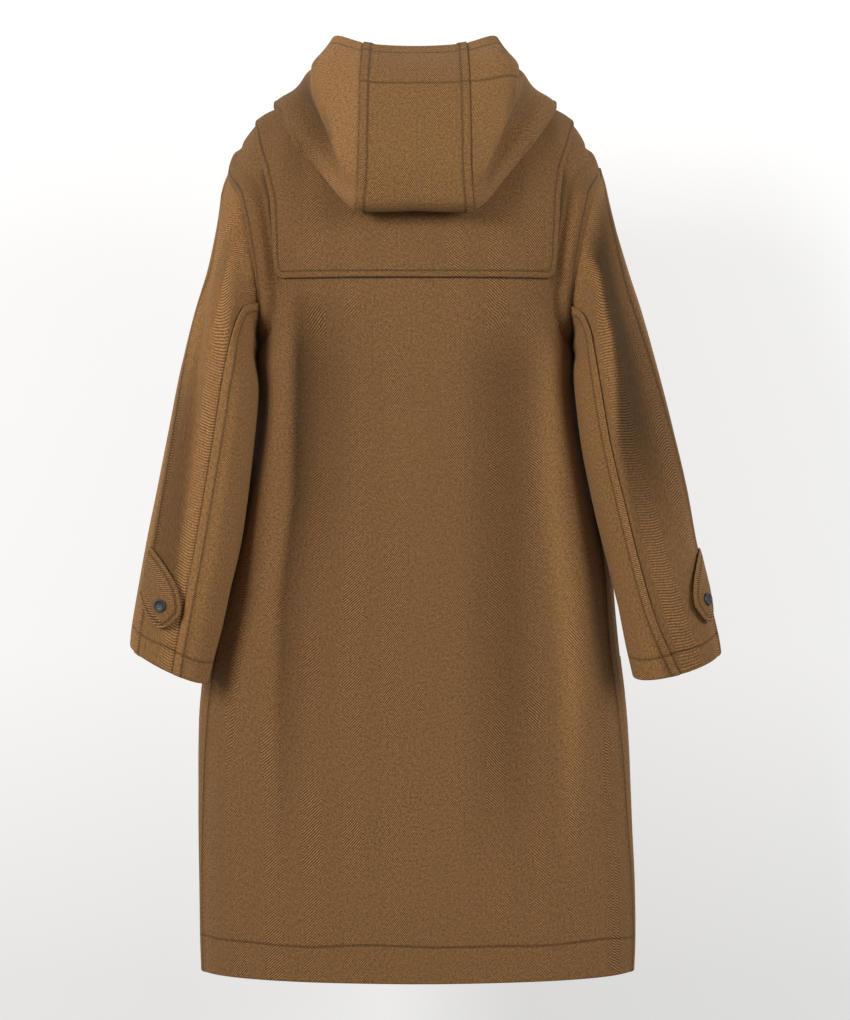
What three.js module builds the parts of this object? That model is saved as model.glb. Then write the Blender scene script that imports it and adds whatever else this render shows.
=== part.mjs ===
import * as THREE from 'three';

// A hooded duffle coat in heavy wool, filled out with no wearer. Millimetres, +Z up, the front faces -Y.
// The origin is in the middle of the neck, level with the neck seam. The coat's own left is +X.

// Cloth and seams
const clothThick = 3.0;
const seamGap = 0.3;

// Fronts
const frontOverlap = 45;
const neckOverlap = 26;
const overlapRise = 40;
const overlapGap = 2.2;

// Fastening: a horn toggle on a tie, sewn under a patch on the right front, and a loop on the left front
const toggleHeights = [-195, -310, -425, -540];
const toggleHalfLength = 29;
const toggleRadius = 7.2;
const loopRadius = 2.2;
const tieRadius = 2.6;
const fasteningGap = 0.7;
const patchStart = 62;
const patchWidth = 34;
const patchHalfHeight = 19;
const patchThick = 2.0;
const patchGap = { left: 1.6, right: 0.6 };
// How much closer to its tie a toggle lies than their radii say, as both are made of flat facets
const facetAllowance = 0.5;

// Buttons on the cuff tabs
const buttonRadius = 8;
const buttonThick = 3.0;

const woolColour = '#7a5837';
const hoodWoolColour = '#86643f';
const hornColour = '#3a2a1c';
const cordColour = '#2e2318';
const leatherColour = '#3b2a1d';
const buttonColour = '#33363c';

const degrees = Math.PI / 180;

function tableOf(columns, rows) {
  return rows.map((row) => Object.fromEntries(columns.map((column, index) => [column, row[index]])));
}

// Smooth reading of one column between the rows of a table
function columnAt(table, column, place) {
  const last = table.length - 1;
  const row = Math.min(Math.max(Math.floor(place), 0), last - 1);
  const share = place - row;
  const value = (index) => table[Math.min(Math.max(index, 0), last)][column];
  const before = value(row - 1);
  const start = value(row);
  const end = value(row + 1);
  const after = value(row + 2);
  const slopeStart = (end - before) / 2;
  const slopeEnd = (after - start) / 2;
  const square = share * share;
  const cube = square * share;
  return (2 * cube - 3 * square + 1) * start + (cube - 2 * square + share) * slopeStart
    + (3 * square - 2 * cube) * end + (cube - square) * slopeEnd;
}

function smoothRise(value, low, high) {
  const share = Math.min(Math.max((value - low) / (high - low), 0), 1);
  return share * share * (3 - 2 * share);
}

// Body rings from the neck to the hem. A ring's height differs at the side, the centre back and the centre
// front. backEdge and frontEdge are the angles of the panels' edges, from the side line towards the back:
// the shoulder seam, then the armhole, then the side seam, which lies a little behind the side line.
// capeEdge is the angle of the cape's edge from the side line.
const bodyRows = tableOf(
  ['sideZ', 'backZ', 'frontZ', 'halfWidth', 'backY', 'frontY', 'midX', 'midY', 'backEdge', 'frontEdge', 'capeEdge'],
  [
    [14, 2, -62, 96, 78, -104, 0, 0, 0, 0, 12],
    [1, -18, -80, 140, 88, -108, 0, 0, 0, 0, 12],
    [-9, -34, -95, 168, 93, -110, 0, 0, 0, 0, 12],
    [-19, -50, -108, 188, 97, -112, 1, 0, 0, 0, 14],
    [-32, -68, -122, 201, 101, -114, 1, 0, 0, 0, 19],
    [-52, -88, -138, 214, 105, -116, 2, 0, 0, 0, 30],
    [-80, -112, -158, 227, 109, -118, 2, 0, 0, 0, 37],
    [-118, -142, -182, 228, 112, -120, 0, -2, 25, -25, 39],
    [-158, -176, -207, 222, 114, -122, 0, -5, 27, -30, 38],
    [-196, -205, -229, 214, 116, -124, 0, -9, 26.5, -31, 36],
    [-223, -227, -246, 207, 117, -125, 0, -12, 24.5, -29, 35],
    [-256, -258, -268, 198, 118, -127, 0, -15, 20, -24, 33],
    [-290, -292, -296, 190, 118, -128, 0, -18, 0, 0, 30],
    [-325, -326, -328, 199, 118, -129, 0, -21, 3, 3, 30],
    [-362, -362, -362, 203, 117, -129, -2, -24, 6, 6, 30],
    [-412, -412, -412, 209, 116, -128, -4, -24, 9, 9, 30],
    [-465, -465, -465, 217, 115, -127, -4, -19, 12, 12, 31],
    [-525, -525, -525, 228, 113, -125, -3, -12, 15, 15, 32],
    [-585, -585, -585, 240, 112, -124, -2, -7, 17, 17, 33],
    [-640, -640, -640, 251, 111, -122, 1, -4, 18.5, 18.5, 34],
    [-690, -690, -690, 258, 110, -120, 3, -2, 18.5, 18.5, 34],
    [-745, -745, -745, 265, 109, -119, 3, 0, 17.5, 17.5, 34],
    [-800, -800, -800, 268, 108, -118, 2, 0, 15.5, 15.5, 33],
    [-850, -850, -850, 269, 108, -117, 1, 0, 13.5, 13.5, 32],
    [-900, -900, -900, 270, 107, -116, 0, 0, 12, 12, 31],
    [-965, -965, -965, 271, 107, -115, -2, 0, 10, 10, 30],
    [-1030, -1030, -1030, 271, 106, -114, -3, 0, 9, 9, 30],
    [-1077, -1078, -1078, 269, 105, -113, -3, 0, 8, 8, 30],
  ],
);
const shoulderRow = 6;
const capeLastRow = 10;
const underarmRow = 12;
const hemRow = bodyRows.length - 1;
const sectionSquareness = 0.03;

// Long soft folds in the body: where each runs at its top and bottom, how wide and how deep it is (out is +)
const bodyFolds = tableOf(
  ['topAngle', 'bottomAngle', 'spread', 'depth', 'topZ', 'bottomZ'],
  [
    [50, 48, 15, -13, -230, -700],
    [33, 34, 9, 5, -250, -560],
    [126, 124, 14, -8, -240, -720],
    [143, 143, 9, 5, -250, -620],
    [108, 104, 12, -4, -330, -900],
    [142, 140, 12, 5, -560, -980],
    [66, 62, 13, 5, -720, -1120],
    [90, 91, 16, 4, -860, -1160],
    [-52, -50, 14, -9, -260, -800],
    [-128, -131, 14, -9, -280, -760],
    [-30, -28, 12, 5, -620, -1120],
    [-150, -152, 12, 5, -640, -1120],
  ],
);

function foldDepth(angle, height) {
  let depth = 0;
  for (const fold of bodyFolds) {
    const along = (height - fold.topZ) / (fold.bottomZ - fold.topZ);
    if (along <= 0 || along >= 1) {
      continue;
    }
    const centre = fold.topAngle + (fold.bottomAngle - fold.topAngle) * along;
    const across = (angle / degrees - centre) / fold.spread;
    depth += fold.depth * Math.exp(-across * across) * Math.sin(Math.PI * along);
  }
  return depth;
}

// A point of the body's outer face: the angle runs from the left side (0) over the back (90) to the right side
function bodyPoint(angle, row) {
  const read = (column) => columnAt(bodyRows, column, row);
  const cosine = Math.cos(angle);
  const sine = Math.sin(angle);
  const middleZ = sine >= 0 ? read('backZ') : read('frontZ');
  const middleY = sine >= 0 ? read('backY') - read('midY') : read('midY') - read('frontY');
  const sideZ = read('sideZ');
  const height = sideZ + (middleZ - sideZ) * Math.pow(Math.abs(sine), 1.8);
  const reach = 1 + sectionSquareness * Math.sin(2 * angle) ** 2;
  const depth = foldDepth(Math.atan2(sine, cosine), height);
  return new THREE.Vector3(
    read('midX') + (read('halfWidth') * reach + depth) * cosine,
    read('midY') + (middleY * reach + depth) * sine,
    height,
  );
}

// Outward direction of a surface at one of its points, from four points close by
function outwardAt(surface, around, along, turn) {
  const step = 1e-3;
  const acrossStep = surface(around + step, along).sub(surface(around - step, along));
  const alongStep = surface(around, along + step).sub(surface(around, along - step));
  return acrossStep.cross(alongStep).normalize().multiplyScalar(turn);
}

// A cloth wall on a grid. pointAt(column, row) gives the place on the surface, its outward direction and how
// far the wall's two faces stand off it. cellUsed says which cells of the grid the piece covers.
function clothWall(columns, rows, turn, pointAt, cellUsed = () => true) {
  const positions = [];
  const places = new Map();
  const corner = (column, row, outer) => {
    const key = `${column},${row},${outer}`;
    if (!places.has(key)) {
      const { point, outward, low, high } = pointAt(column, row);
      const place = point.clone().addScaledVector(outward, outer ? high : low);
      places.set(key, positions.length / 3);
      positions.push(place.x, place.y, place.z);
    }
    return places.get(key);
  };
  const faces = [];
  const quad = (a, b, c, d) => {
    faces.push(...(turn > 0 ? [a, b, c, a, c, d] : [a, c, b, a, d, c]));
  };
  const used = (column, row) => column >= 0 && row >= 0 && column < columns && row < rows && cellUsed(column, row);
  for (let row = 0; row < rows; row += 1) {
    for (let column = 0; column < columns; column += 1) {
      if (!used(column, row)) {
        continue;
      }
      const round = [[column, row], [column + 1, row], [column + 1, row + 1], [column, row + 1]];
      const outer = round.map(([i, j]) => corner(i, j, true));
      const inner = round.map(([i, j]) => corner(i, j, false));
      quad(outer[0], outer[1], outer[2], outer[3]);
      quad(inner[0], inner[3], inner[2], inner[1]);
      const beside = [[column, row - 1], [column + 1, row], [column, row + 1], [column - 1, row]];
      beside.forEach(([i, j], side) => {
        if (!used(i, j)) {
          const next = (side + 1) % 4;
          quad(outer[next], outer[side], inner[side], inner[next]);
        }
      });
    }
  }
  const geometry = new THREE.BufferGeometry();
  geometry.setAttribute('position', new THREE.Float32BufferAttribute(positions, 3));
  geometry.setIndex(faces);
  return geometry;
}

const coat = new THREE.Group();

function addPiece(name, geometry, colour, roughness = 0.95) {
  const material = new THREE.MeshStandardMaterial({ color: colour, roughness, metalness: 0 });
  geometry.computeVertexNormals();
  const mesh = new THREE.Mesh(geometry, material);
  mesh.name = name;
  coat.add(mesh);
  return mesh;
}

// Back panel: columns from the left edge to the right edge, two of them on the cape's edges
const capeInnerCells = 14;
const capeEdgeCells = 2;
const backColumns = capeInnerCells + 2 * capeEdgeCells;

function seamShift(row, angle) {
  const width = columnAt(bodyRows, 'halfWidth', row);
  return (seamGap / 2) / (width * Math.max(Math.abs(Math.sin(angle)), 0.55));
}

function backAngle(column, row) {
  const edge = columnAt(bodyRows, 'backEdge', row) * degrees;
  const start = edge + seamShift(row, edge);
  const cape = columnAt(bodyRows, 'capeEdge', row) * degrees;
  const half = backColumns / 2;
  const fromEdge = half - Math.abs(column - half);
  const angle = fromEdge <= capeEdgeCells
    ? start + (cape - start) * (fromEdge / capeEdgeCells)
    : cape + (Math.PI / 2 - cape) * ((fromEdge - capeEdgeCells) / (half - capeEdgeCells));
  return column <= half ? angle : Math.PI - angle;
}

function onBody(angle, row, low, high) {
  return {
    point: bodyPoint(angle, row),
    outward: outwardAt(bodyPoint, angle, row, -1),
    low,
    high,
  };
}

addPiece(
  'back',
  clothWall(backColumns, hemRow, -1, (column, row) => onBody(backAngle(column, row), row, -clothThick, 0)),
  woolColour,
);

const capeShoulderRow = 4;
const onCape = (fromEdge, row) => row < capeLastRow && (row < capeShoulderRow || fromEdge >= capeEdgeCells);
addPiece(
  'yoke_back',
  clothWall(
    backColumns,
    capeLastRow,
    -1,
    (column, row) => onBody(backAngle(column, row), row, seamGap, seamGap + clothThick),
    (column, row) => onCape(Math.min(column, backColumns - 1 - column), row),
  ),
  woolColour,
);

// Fronts: the left one laps over the right one at the centre front
const frontEdgeCells = 2;
const frontColumns = 12;
const frontCapeLastRow = 6;
const frontCapeLastColumn = 8;

function frontAngle(column, row) {
  const edge = columnAt(bodyRows, 'frontEdge', row) * degrees;
  const start = edge - seamShift(row, edge);
  const width = columnAt(bodyRows, 'halfWidth', row);
  const overlap = neckOverlap + (frontOverlap - neckOverlap) * smoothRise(row, 0, shoulderRow);
  const end = -Math.PI / 2 - Math.asin(overlap / width);
  return start + (end - start) * (column / frontColumns);
}

// How far the left front has risen over the right one, from 0 well left of the centre to 1 over the overlap
function frontLap(x) {
  return 1 - smoothRise(x, frontOverlap + 6, frontOverlap + 6 + overlapRise);
}

function frontPlace(side, column, row, low, high) {
  const angle = frontAngle(column, row);
  const place = onBody(side > 0 ? angle : Math.PI - angle, row, low, high);
  const lift = side > 0 ? (clothThick + overlapGap) * frontLap(place.point.x) : 0;
  place.low += lift;
  place.high += lift;
  return place;
}

const pocketFirstColumn = 3;
const pocketLastColumn = 8;
const pocketTopRow = 20;
const pocketBottomRow = 24;
const flapTopRow = 20;
const flapBottomRow = 21;

for (const [sideName, side] of [['left', 1], ['right', -1]]) {
  const wall = (low, high, cellUsed) => clothWall(
    frontColumns,
    hemRow,
    side,
    (column, row) => frontPlace(side, column, row, low, high),
    cellUsed,
  );
  const within = (first, last, top, bottom) => (column, row) => (
    column >= first && column < last && row >= top && row < bottom
  );
  addPiece(`front_${sideName}`, wall(-clothThick, 0), woolColour);
  addPiece(
    `yoke_front_${sideName}`,
    wall(seamGap, seamGap + clothThick, within(0, frontCapeLastColumn, 0, frontCapeLastRow)),
    woolColour,
  );
  addPiece(
    `pocket_${sideName}`,
    wall(seamGap, seamGap + clothThick, within(pocketFirstColumn, pocketLastColumn, pocketTopRow, pocketBottomRow)),
    woolColour,
  );
  addPiece(
    `pocket_flap_${sideName}`,
    wall(
      2 * seamGap + clothThick,
      2 * (seamGap + clothThick),
      within(pocketFirstColumn, pocketLastColumn, flapTopRow, flapBottomRow),
    ),
    woolColour,
  );
}

// Sleeves: rings from the armhole to the cuff. outer and inner are the ring's ends as the coat's back is seen,
// midY and halfDepth give it its depth, and backDrop lowers its back edge. overarm and backSeam are the places
// of the two long seams round the ring, in degrees from the outer end over the back.
const sleeveColumns = [
  'outerX', 'outerZ', 'innerX', 'innerZ', 'midY', 'halfDepth', 'backDrop', 'overarm', 'backSeam',
];
const sleeveRows = {
  left: tableOf(sleeveColumns, [
    [229, -80, 190, -290, 8, 50, 0, 0, 127],
    [239, -115, 193, -297, 10, 56, 0, 4, 120],
    [246, -160, 195, -306, 14, 62, 0, 8, 112],
    [256, -212, 197, -317, 20, 68, 0, 11, 106],
    [271, -265, 195, -332, 32, 68, 0, 16, 102],
    [288, -333, 192, -362, 42, 65, 0, 23, 99],
    [301, -403, 198, -430, 51, 64, 0, 28, 98],
    [315, -478, 206, -502, 58, 63, 0, 31, 97],
    [327, -540, 215, -563, 64, 61, 1, 33, 97],
    [339, -610, 232, -638, 71, 54, 3, 34, 98],
    [345, -648, 244, -684, 74, 49, 5, 34, 99],
    [347, -671, 252, -716, 75, 46, 6, 34, 100],
  ]),
  right: tableOf(sleeveColumns, [
    [229, -80, 190, -290, 8, 50, 0, 0, 127],
    [237, -115, 193, -297, 10, 56, 0, 10, 124],
    [249, -160, 195, -306, 14, 62, 0, 19, 121],
    [264, -212, 197, -317, 20, 68, 0, 26, 119],
    [280, -265, 195, -332, 32, 68, 0, 27, 118],
    [298, -333, 196, -362, 42, 65, 0, 23, 117],
    [315, -403, 204, -430, 51, 64, 0, 19, 116],
    [331, -478, 218, -502, 58, 63, 0, 14, 114],
    [342, -545, 233, -566, 64, 61, 1, 9, 112],
    [357, -612, 249, -638, 71, 54, 3, 6, 107],
    [367, -655, 259, -683, 74, 49, 7, 4, 97],
    [371, -679, 265, -709, 75, 46, 10, 4, 89],
  ]),
};
const sleeveLastRow = sleeveRows.left.length - 1;
const armholeRows = underarmRow - shoulderRow;

// The armhole's edge on the body, as straight stretches between the body's rings
function armholePoint(turnAngle) {
  const down = (1 - Math.cos(turnAngle)) / 2 * armholeRows;
  const first = Math.min(Math.floor(down), armholeRows - 1);
  const share = down - first;
  const edgeColumn = Math.sin(turnAngle) >= 0 ? 'backEdge' : 'frontEdge';
  const [start, end] = [first, first + 1].map((step) => {
    const row = shoulderRow + step;
    return bodyPoint(columnAt(bodyRows, edgeColumn, row) * degrees, row);
  });
  return start.lerp(end, share);
}

const armholeCentre = armholePoint(0).lerp(armholePoint(Math.PI), 0.5);

function sleeveRing(rows, side, turnAngle, row) {
  const read = (column) => columnAt(rows, column, row);
  const cosine = Math.cos(turnAngle);
  const sine = Math.sin(turnAngle);
  return new THREE.Vector3(
    side * ((read('outerX') + read('innerX')) / 2 + (read('outerX') - read('innerX')) / 2 * cosine),
    read('midY') + read('halfDepth') * sine,
    (read('outerZ') + read('innerZ')) / 2 + (read('outerZ') - read('innerZ')) / 2 * cosine
      - read('backDrop') * sine,
  );
}

// Near the armhole the rings turn into the armhole's own edge
function sleevePoint(rows, side, turnAngle, row) {
  const ring = sleeveRing(rows, side, turnAngle, row);
  const share = 1 - smoothRise(row, 0, 2);
  if (share > 0) {
    const first = sleeveRing(rows, side, turnAngle, 0);
    const edge = armholePoint(turnAngle);
    edge.x = side * edge.x;
    ring.addScaledVector(edge.sub(first), share);
  }
  ring.x += side * 2 * seamGap * share;
  return ring;
}

const backSeamFirstCells = 5;
const sleeveRoundCells = 19;

function sleeveAngle(rows, column, row, panel) {
  const backSeam = columnAt(rows, 'backSeam', row) * degrees;
  const overarm = columnAt(rows, 'overarm', row) * degrees;
  const gap = seamGap / 2 / 52;
  if (panel === 'outer') {
    const start = overarm + gap;
    return start + (backSeam - gap - start) * (column / backSeamFirstCells);
  }
  const start = backSeam + gap;
  return start + (overarm + 2 * Math.PI - gap - start) * (column / (sleeveRoundCells - backSeamFirstCells));
}

// Cuff tabs: a pointed strap set into the overarm seam and lying on the sleeve. Each row is a place from its
// root to its point: the angle past the overarm seam and the sleeve ring of its upper and of its lower edge,
// and how far it stands off the sleeve.
const tabRows = tableOf(
  ['upperAngle', 'upperRing', 'lowerAngle', 'lowerRing', 'standOff'],
  [
    [3, 8.1, 1, 8.95, 0.4],
    [23, 8.28, 12, 9.2, 1.4],
    [41, 8.55, 25, 9.42, 3.0],
    [50, 8.82, 36, 9.5, 4.6],
    [52, 9.05, 45, 9.32, 5.4],
  ],
);
const tabThick = 4.0;
const tabCellsAcross = 3;
const buttonTurn = 30;
const buttonRing = 8.98;
const buttonStandOff = 7.6;

// A round button with a raised rim and a dished face, turned about +Y, its back at the height 0
function buttonGeometry() {
  const profile = [
    [0, 0],
    [buttonRadius - 1, 0],
    [buttonRadius, 0.8],
    [buttonRadius, buttonThick - 0.6],
    [buttonRadius - 0.8, buttonThick],
    [buttonRadius - 2.2, buttonThick],
    [buttonRadius - 3.2, buttonThick - 0.9],
    [0, buttonThick - 0.9],
  ];
  const shape = new THREE.LatheGeometry(profile.map(([x, y]) => new THREE.Vector2(x, y)), 20);
  return shape;
}

for (const [sideName, side] of [['left', 1], ['right', -1]]) {
  const rows = sleeveRows[sideName];
  const surface = (turnAngle, row) => sleevePoint(rows, side, turnAngle, row);
  const place = (panel) => (column, row) => {
    const turnAngle = sleeveAngle(rows, column, row, panel);
    const point = surface(turnAngle, row);
    const outward = row === 0
      ? new THREE.Vector3(0, point.y - armholeCentre.y, point.z - armholeCentre.z).normalize()
      : outwardAt(surface, turnAngle, row, -side);
    return { point, outward, low: -clothThick, high: 0 };
  };
  const outerCells = backSeamFirstCells;
  const underCells = sleeveRoundCells - backSeamFirstCells;
  addPiece(`sleeve_${sideName}_outer`, clothWall(outerCells, sleeveLastRow, -side, place('outer')), woolColour);
  addPiece(`sleeve_${sideName}_under`, clothWall(underCells, sleeveLastRow, -side, place('under')), woolColour);

  const tabPlace = (column, row) => {
    const read = (name) => tabRows[column][name];
    const across = row / tabCellsAcross;
    const ring = read('upperRing') + (read('lowerRing') - read('upperRing')) * across;
    const past = read('upperAngle') + (read('lowerAngle') - read('upperAngle')) * across;
    const turnAngle = (columnAt(rows, 'overarm', ring) + past) * degrees;
    const low = read('standOff');
    return { point: surface(turnAngle, ring), outward: outwardAt(surface, turnAngle, ring, -side), low, high: low + tabThick };
  };
  addPiece(`cuff_tab_${sideName}`, clothWall(tabRows.length - 1, tabCellsAcross, -side, tabPlace), woolColour);

  const buttonAngle = (columnAt(rows, 'overarm', buttonRing) + buttonTurn) * degrees;
  const outward = outwardAt(surface, buttonAngle, buttonRing, -side);
  const button = addPiece(`cuff_button_${sideName}`, buttonGeometry(), buttonColour, 0.5);
  button.quaternion.setFromUnitVectors(new THREE.Vector3(0, 1, 0), outward);
  button.position.copy(surface(buttonAngle, buttonRing)).addScaledVector(outward, buttonStandOff);
}

// Hood, laid down on the back. Its lines run from the centre back to the front end of the neck seam, one table
// for each: the stations are centre back, panel seam, lower corner, wing, wing, wing tip, side, front and end.
const neckAngles = [90, 60, 48, 34, 18, 0, -28, -56, -74];
const hoodLines = {
  roll: [
    [0, 88, 15], [49, 77, 17], [66, 66, 19], [82, 52, 22], [94, 34, 26], [102, 2, 27], [92, -53, 7],
    [60, -92, -30], [29, -105, -48],
  ],
  underUpper: [
    [0, 108, -14], [52, 102, -12], [71, 92, -8], [90, 74, 2], [106, 52, 12], [122, 8, 19], [108, -55, 8],
    [68, -98, -26], [31, -108, -42],
  ],
  underLower: [
    [0, 116, -88], [58, 110, -86], [78, 103, -78], [102, 92, -52], [122, 76, -26], [144, 18, 6], [122, -54, 2],
    [73, -102, -22], [33, -110, -38],
  ],
  fold: [
    [0, 138, -149], [64, 136, -149], [82, 126, -139], [114, 106, -99], [145, 84, -58], [172, 22, -8],
    [133, -50, 0], [76, -104, -18], [34, -111, -34],
  ],
  lap: [
    [0, 156, -142], [65, 153, -142], [80, 144, -136], [106, 124, -92], [135, 98, -46], [163, 32, 6],
    [133, -48, 12], [77, -103, -13], [34, -111, -30],
  ],
  valley: [
    [0, 162, -118], [63, 159, -118], [80, 147, -122], [98, 126, -78], [117, 104, -32], [147, 40, 19],
    [127, -46, 19], [76, -101, -8], [34, -110, -26],
  ],
  crease: [
    [0, 163, -84], [62, 160, -84], [86, 155, -104], [103, 147, -62], [120, 124, -23], [136, 52, 34],
    [120, -46, 25], [74, -98, -4], [33, -108, -22],
  ],
  side: [
    [0, 154, -36], [61, 150, -36], [100, 140, -42], [117, 124, -14], [127, 96, 8], [124, 38, 43],
    [113, -46, 30], [70, -94, 0], [32, -106, -19],
  ],
  crown: [
    [0, 128, 20], [60, 124, 22], [109, 108, 30], [125, 82, 34], [124, 56, 40], [118, 16, 46],
    [105, -45, 33], [65, -90, 2], [30, -104, -17],
  ],
  rim: [
    [0, 92, 57], [58, 88, 61], [97, 66, 74], [105, 42, 66], [115, 14, 55], [111, -14, 43],
    [97, -43, 34], [59, -86, 3], [28, -102, -16],
  ],
};
const hoodStations = neckAngles.length - 1;
const hoodSeamRise = 1.2;
const hoodClearance = 6.5;

// A smooth curve along one hood line, over both halves of the hood
const hoodCurves = Object.values(hoodLines).map((stations) => {
  const points = stations.map(([x, y, z]) => new THREE.Vector3(x, y, z));
  const mirrored = points.slice(1).reverse().map((point) => new THREE.Vector3(-point.x, point.y, point.z));
  return new THREE.CatmullRomCurve3([...mirrored, ...points], false, 'centripetal');
});
const hoodSteps = hoodCurves.length;
const neckTable = tableOf(['angle'], neckAngles.map((angle) => [angle]));

// Keeps a point of the hood's under layer clear of the shoulders and of the cape that lies on them
function restOnShoulders(point, clearance) {
  const ringReach = (row) => {
    const read = (column) => columnAt(bodyRows, column, row);
    const depth = point.y >= read('midY') ? read('backY') - read('midY') : read('midY') - read('frontY');
    return new THREE.Vector2(point.x / read('halfWidth'), (point.y - read('midY')) / depth);
  };
  let low = 0;
  let high = armholeRows + 2;
  if (ringReach(low).length() < 1 || ringReach(high).length() > 1) {
    return;
  }
  for (let pass = 0; pass < 24; pass += 1) {
    const middle = (low + high) / 2;
    if (ringReach(middle).length() > 1) {
      low = middle;
    } else {
      high = middle;
    }
  }
  const angle = ringReach(low).angle();
  const outward = outwardAt(bodyPoint, angle, low, -1);
  const distance = point.clone().sub(bodyPoint(angle, low)).dot(outward);
  point.addScaledVector(outward, Math.max(clearance - distance, 0));
}

// station runs from the right front end (-8) over the centre back (0) to the left front end (8), step from the
// neck seam (0) over the fold to the rim
function hoodPoint(station, step) {
  const share = Math.min(Math.max((station + hoodStations) / (2 * hoodStations), 0), 1);
  const fromBack = columnAt(neckTable, 'angle', Math.abs(station)) * degrees;
  const seamPoint = bodyPoint(fromBack, 0);
  const lapShift = outwardAt(bodyPoint, fromBack, 0, -1)
    .multiplyScalar(station > 0 && seamPoint.y < 0 ? (clothThick + overlapGap) * frontLap(seamPoint.x) : 0);
  seamPoint.x *= station < 0 ? -1 : 1;
  seamPoint.z += hoodSeamRise;
  const points = [seamPoint, ...hoodCurves.map((curve) => curve.getPoint(share))];
  points.forEach((point, index) => point.addScaledVector(lapShift, Math.max(1 - index / 6, 0)));
  const place = new THREE.CatmullRomCurve3(points, false, 'centripetal').getPoint(
    Math.min(Math.max(step / hoodSteps, 0), 1),
  );
  const underShare = smoothRise(step, 0.4, 1.4) * (1 - smoothRise(step, 6, 7));
  if (underShare > 0) {
    restOnShoulders(place, (clothThick + hoodClearance) * underShare);
  }
  return place;
}

const hoodPanelSeam = 1;
const hoodPanels = [
  ['hood_centre', -hoodPanelSeam, hoodPanelSeam, 4],
  ['hood_side_left', hoodPanelSeam, hoodStations, 13],
  ['hood_side_right', -hoodStations, -hoodPanelSeam, 13],
];
const hoodStepCells = 22;
const hoodSeamShift = 0.008;

for (const [name, first, last, cells] of hoodPanels) {
  const start = first === -hoodStations ? first : first + hoodSeamShift;
  const end = last === hoodStations ? last : last - hoodSeamShift;
  addPiece(
    name,
    clothWall(cells, hoodStepCells, -1, (column, row) => {
      const station = start + (end - start) * (column / cells);
      const step = hoodSteps * (row / hoodStepCells);
      return {
        point: hoodPoint(station, step),
        outward: outwardAt(hoodPoint, station, step, -1),
        low: -clothThick,
        high: 0,
      };
    }),
    hoodWoolColour,
  );
}

// A point on the fronts, as the front is seen, its outward direction and how far the cloth stands out there
function frontSpot(x, z) {
  let low = 0;
  let high = hemRow;
  const angleAt = (row) => -Math.PI / 2 + Math.asin(x / columnAt(bodyRows, 'halfWidth', row));
  for (let pass = 0; pass < 24; pass += 1) {
    const middle = (low + high) / 2;
    if (bodyPoint(angleAt(middle), middle).z > z) {
      low = middle;
    } else {
      high = middle;
    }
  }
  const angle = angleAt(low);
  return {
    point: bodyPoint(angle, low),
    outward: outwardAt(bodyPoint, angle, low, -1),
    lift: x > -frontOverlap - 4 ? (clothThick + overlapGap) * frontLap(x) : 0,
  };
}

// A round cord along a path of places on the fronts: [x, offset in height, standing off the cloth]
function cordGeometry(height, path, radius, steps) {
  const points = path.map(([x, offset, standOff]) => {
    const { point, outward } = frontSpot(x, height + offset);
    return point.addScaledVector(outward, standOff);
  });
  const section = new THREE.Shape();
  section.absarc(0, 0, radius, 0, 2 * Math.PI, false);
  return new THREE.ExtrudeGeometry(section, {
    curveSegments: 4,
    steps,
    extrudePath: new THREE.CatmullRomCurve3(points, false, 'centripetal'),
  });
}

const lapLift = clothThick + overlapGap;
const loopStandOff = lapLift + loopRadius + fasteningGap;
const tieStandOff = lapLift + tieRadius + fasteningGap;
const loopPath = [
  [61, 4.5, loopStandOff], [36, 7, loopStandOff], [8, 8, loopStandOff], [-3, 5.5, loopStandOff],
  [-6, 0, loopStandOff], [-3, -5.5, loopStandOff], [8, -8, loopStandOff], [36, -7, loopStandOff],
  [61, -4.5, loopStandOff],
];
const tiePath = [
  [-61.5, 0, tieRadius + fasteningGap + 0.5], [-53, 0, tieStandOff - 0.6], [-44, 0, tieStandOff + 0.8],
  [-28, 0, tieStandOff], [-12, 0, tieStandOff],
];
const toggleProfile = [[0, -1], [0.5, -0.98], [0.82, -0.66], [1, -0.2], [1, 0.2], [0.82, 0.66], [0.5, 0.98], [0, 1]];

toggleHeights.forEach((height, index) => {
  const number = index + 1;
  for (const [sideName, side] of [['left', 1], ['right', -1]]) {
    const columns = 3;
    const rows = 2;
    const place = (column, row) => {
      const spot = frontSpot(
        side * (patchStart + patchWidth * column / columns),
        height + patchHalfHeight * (1 - 2 * row / rows),
      );
      const low = spot.lift + patchGap[sideName];
      return { point: spot.point, outward: spot.outward, low, high: low + patchThick };
    };
    addPiece(`patch_${sideName}_${number}`, clothWall(columns, rows, -side, place), leatherColour, 0.6);
  }
  addPiece(`loop_${number}`, cordGeometry(height, loopPath, loopRadius, 16), cordColour, 0.7);
  addPiece(`tie_${number}`, cordGeometry(height, tiePath, tieRadius, 7), cordColour, 0.7);
  const profile = toggleProfile.map(([radius, along]) => (
    new THREE.Vector2(radius * toggleRadius, along * toggleHalfLength)
  ));
  const toggle = addPiece(`toggle_${number}`, new THREE.LatheGeometry(profile, 14), hornColour, 0.35);
  const { point, outward } = frontSpot(0, height);
  toggle.rotation.z = -Math.PI / 2;
  toggle.position.copy(point).addScaledVector(outward, tieStandOff + tieRadius + toggleRadius - facetAllowance);
});

export default coat;
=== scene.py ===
"""A hooded duffle coat in camel brown herringbone wool, seen from the back.

The cloth is rebuilt as fine shells on the forms of the CAD's panels. Lengths are in millimetres until a mesh is
made, and then in metres. The coat's front faces -Y, its own left is +X and up is +Z.
"""
import math

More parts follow.
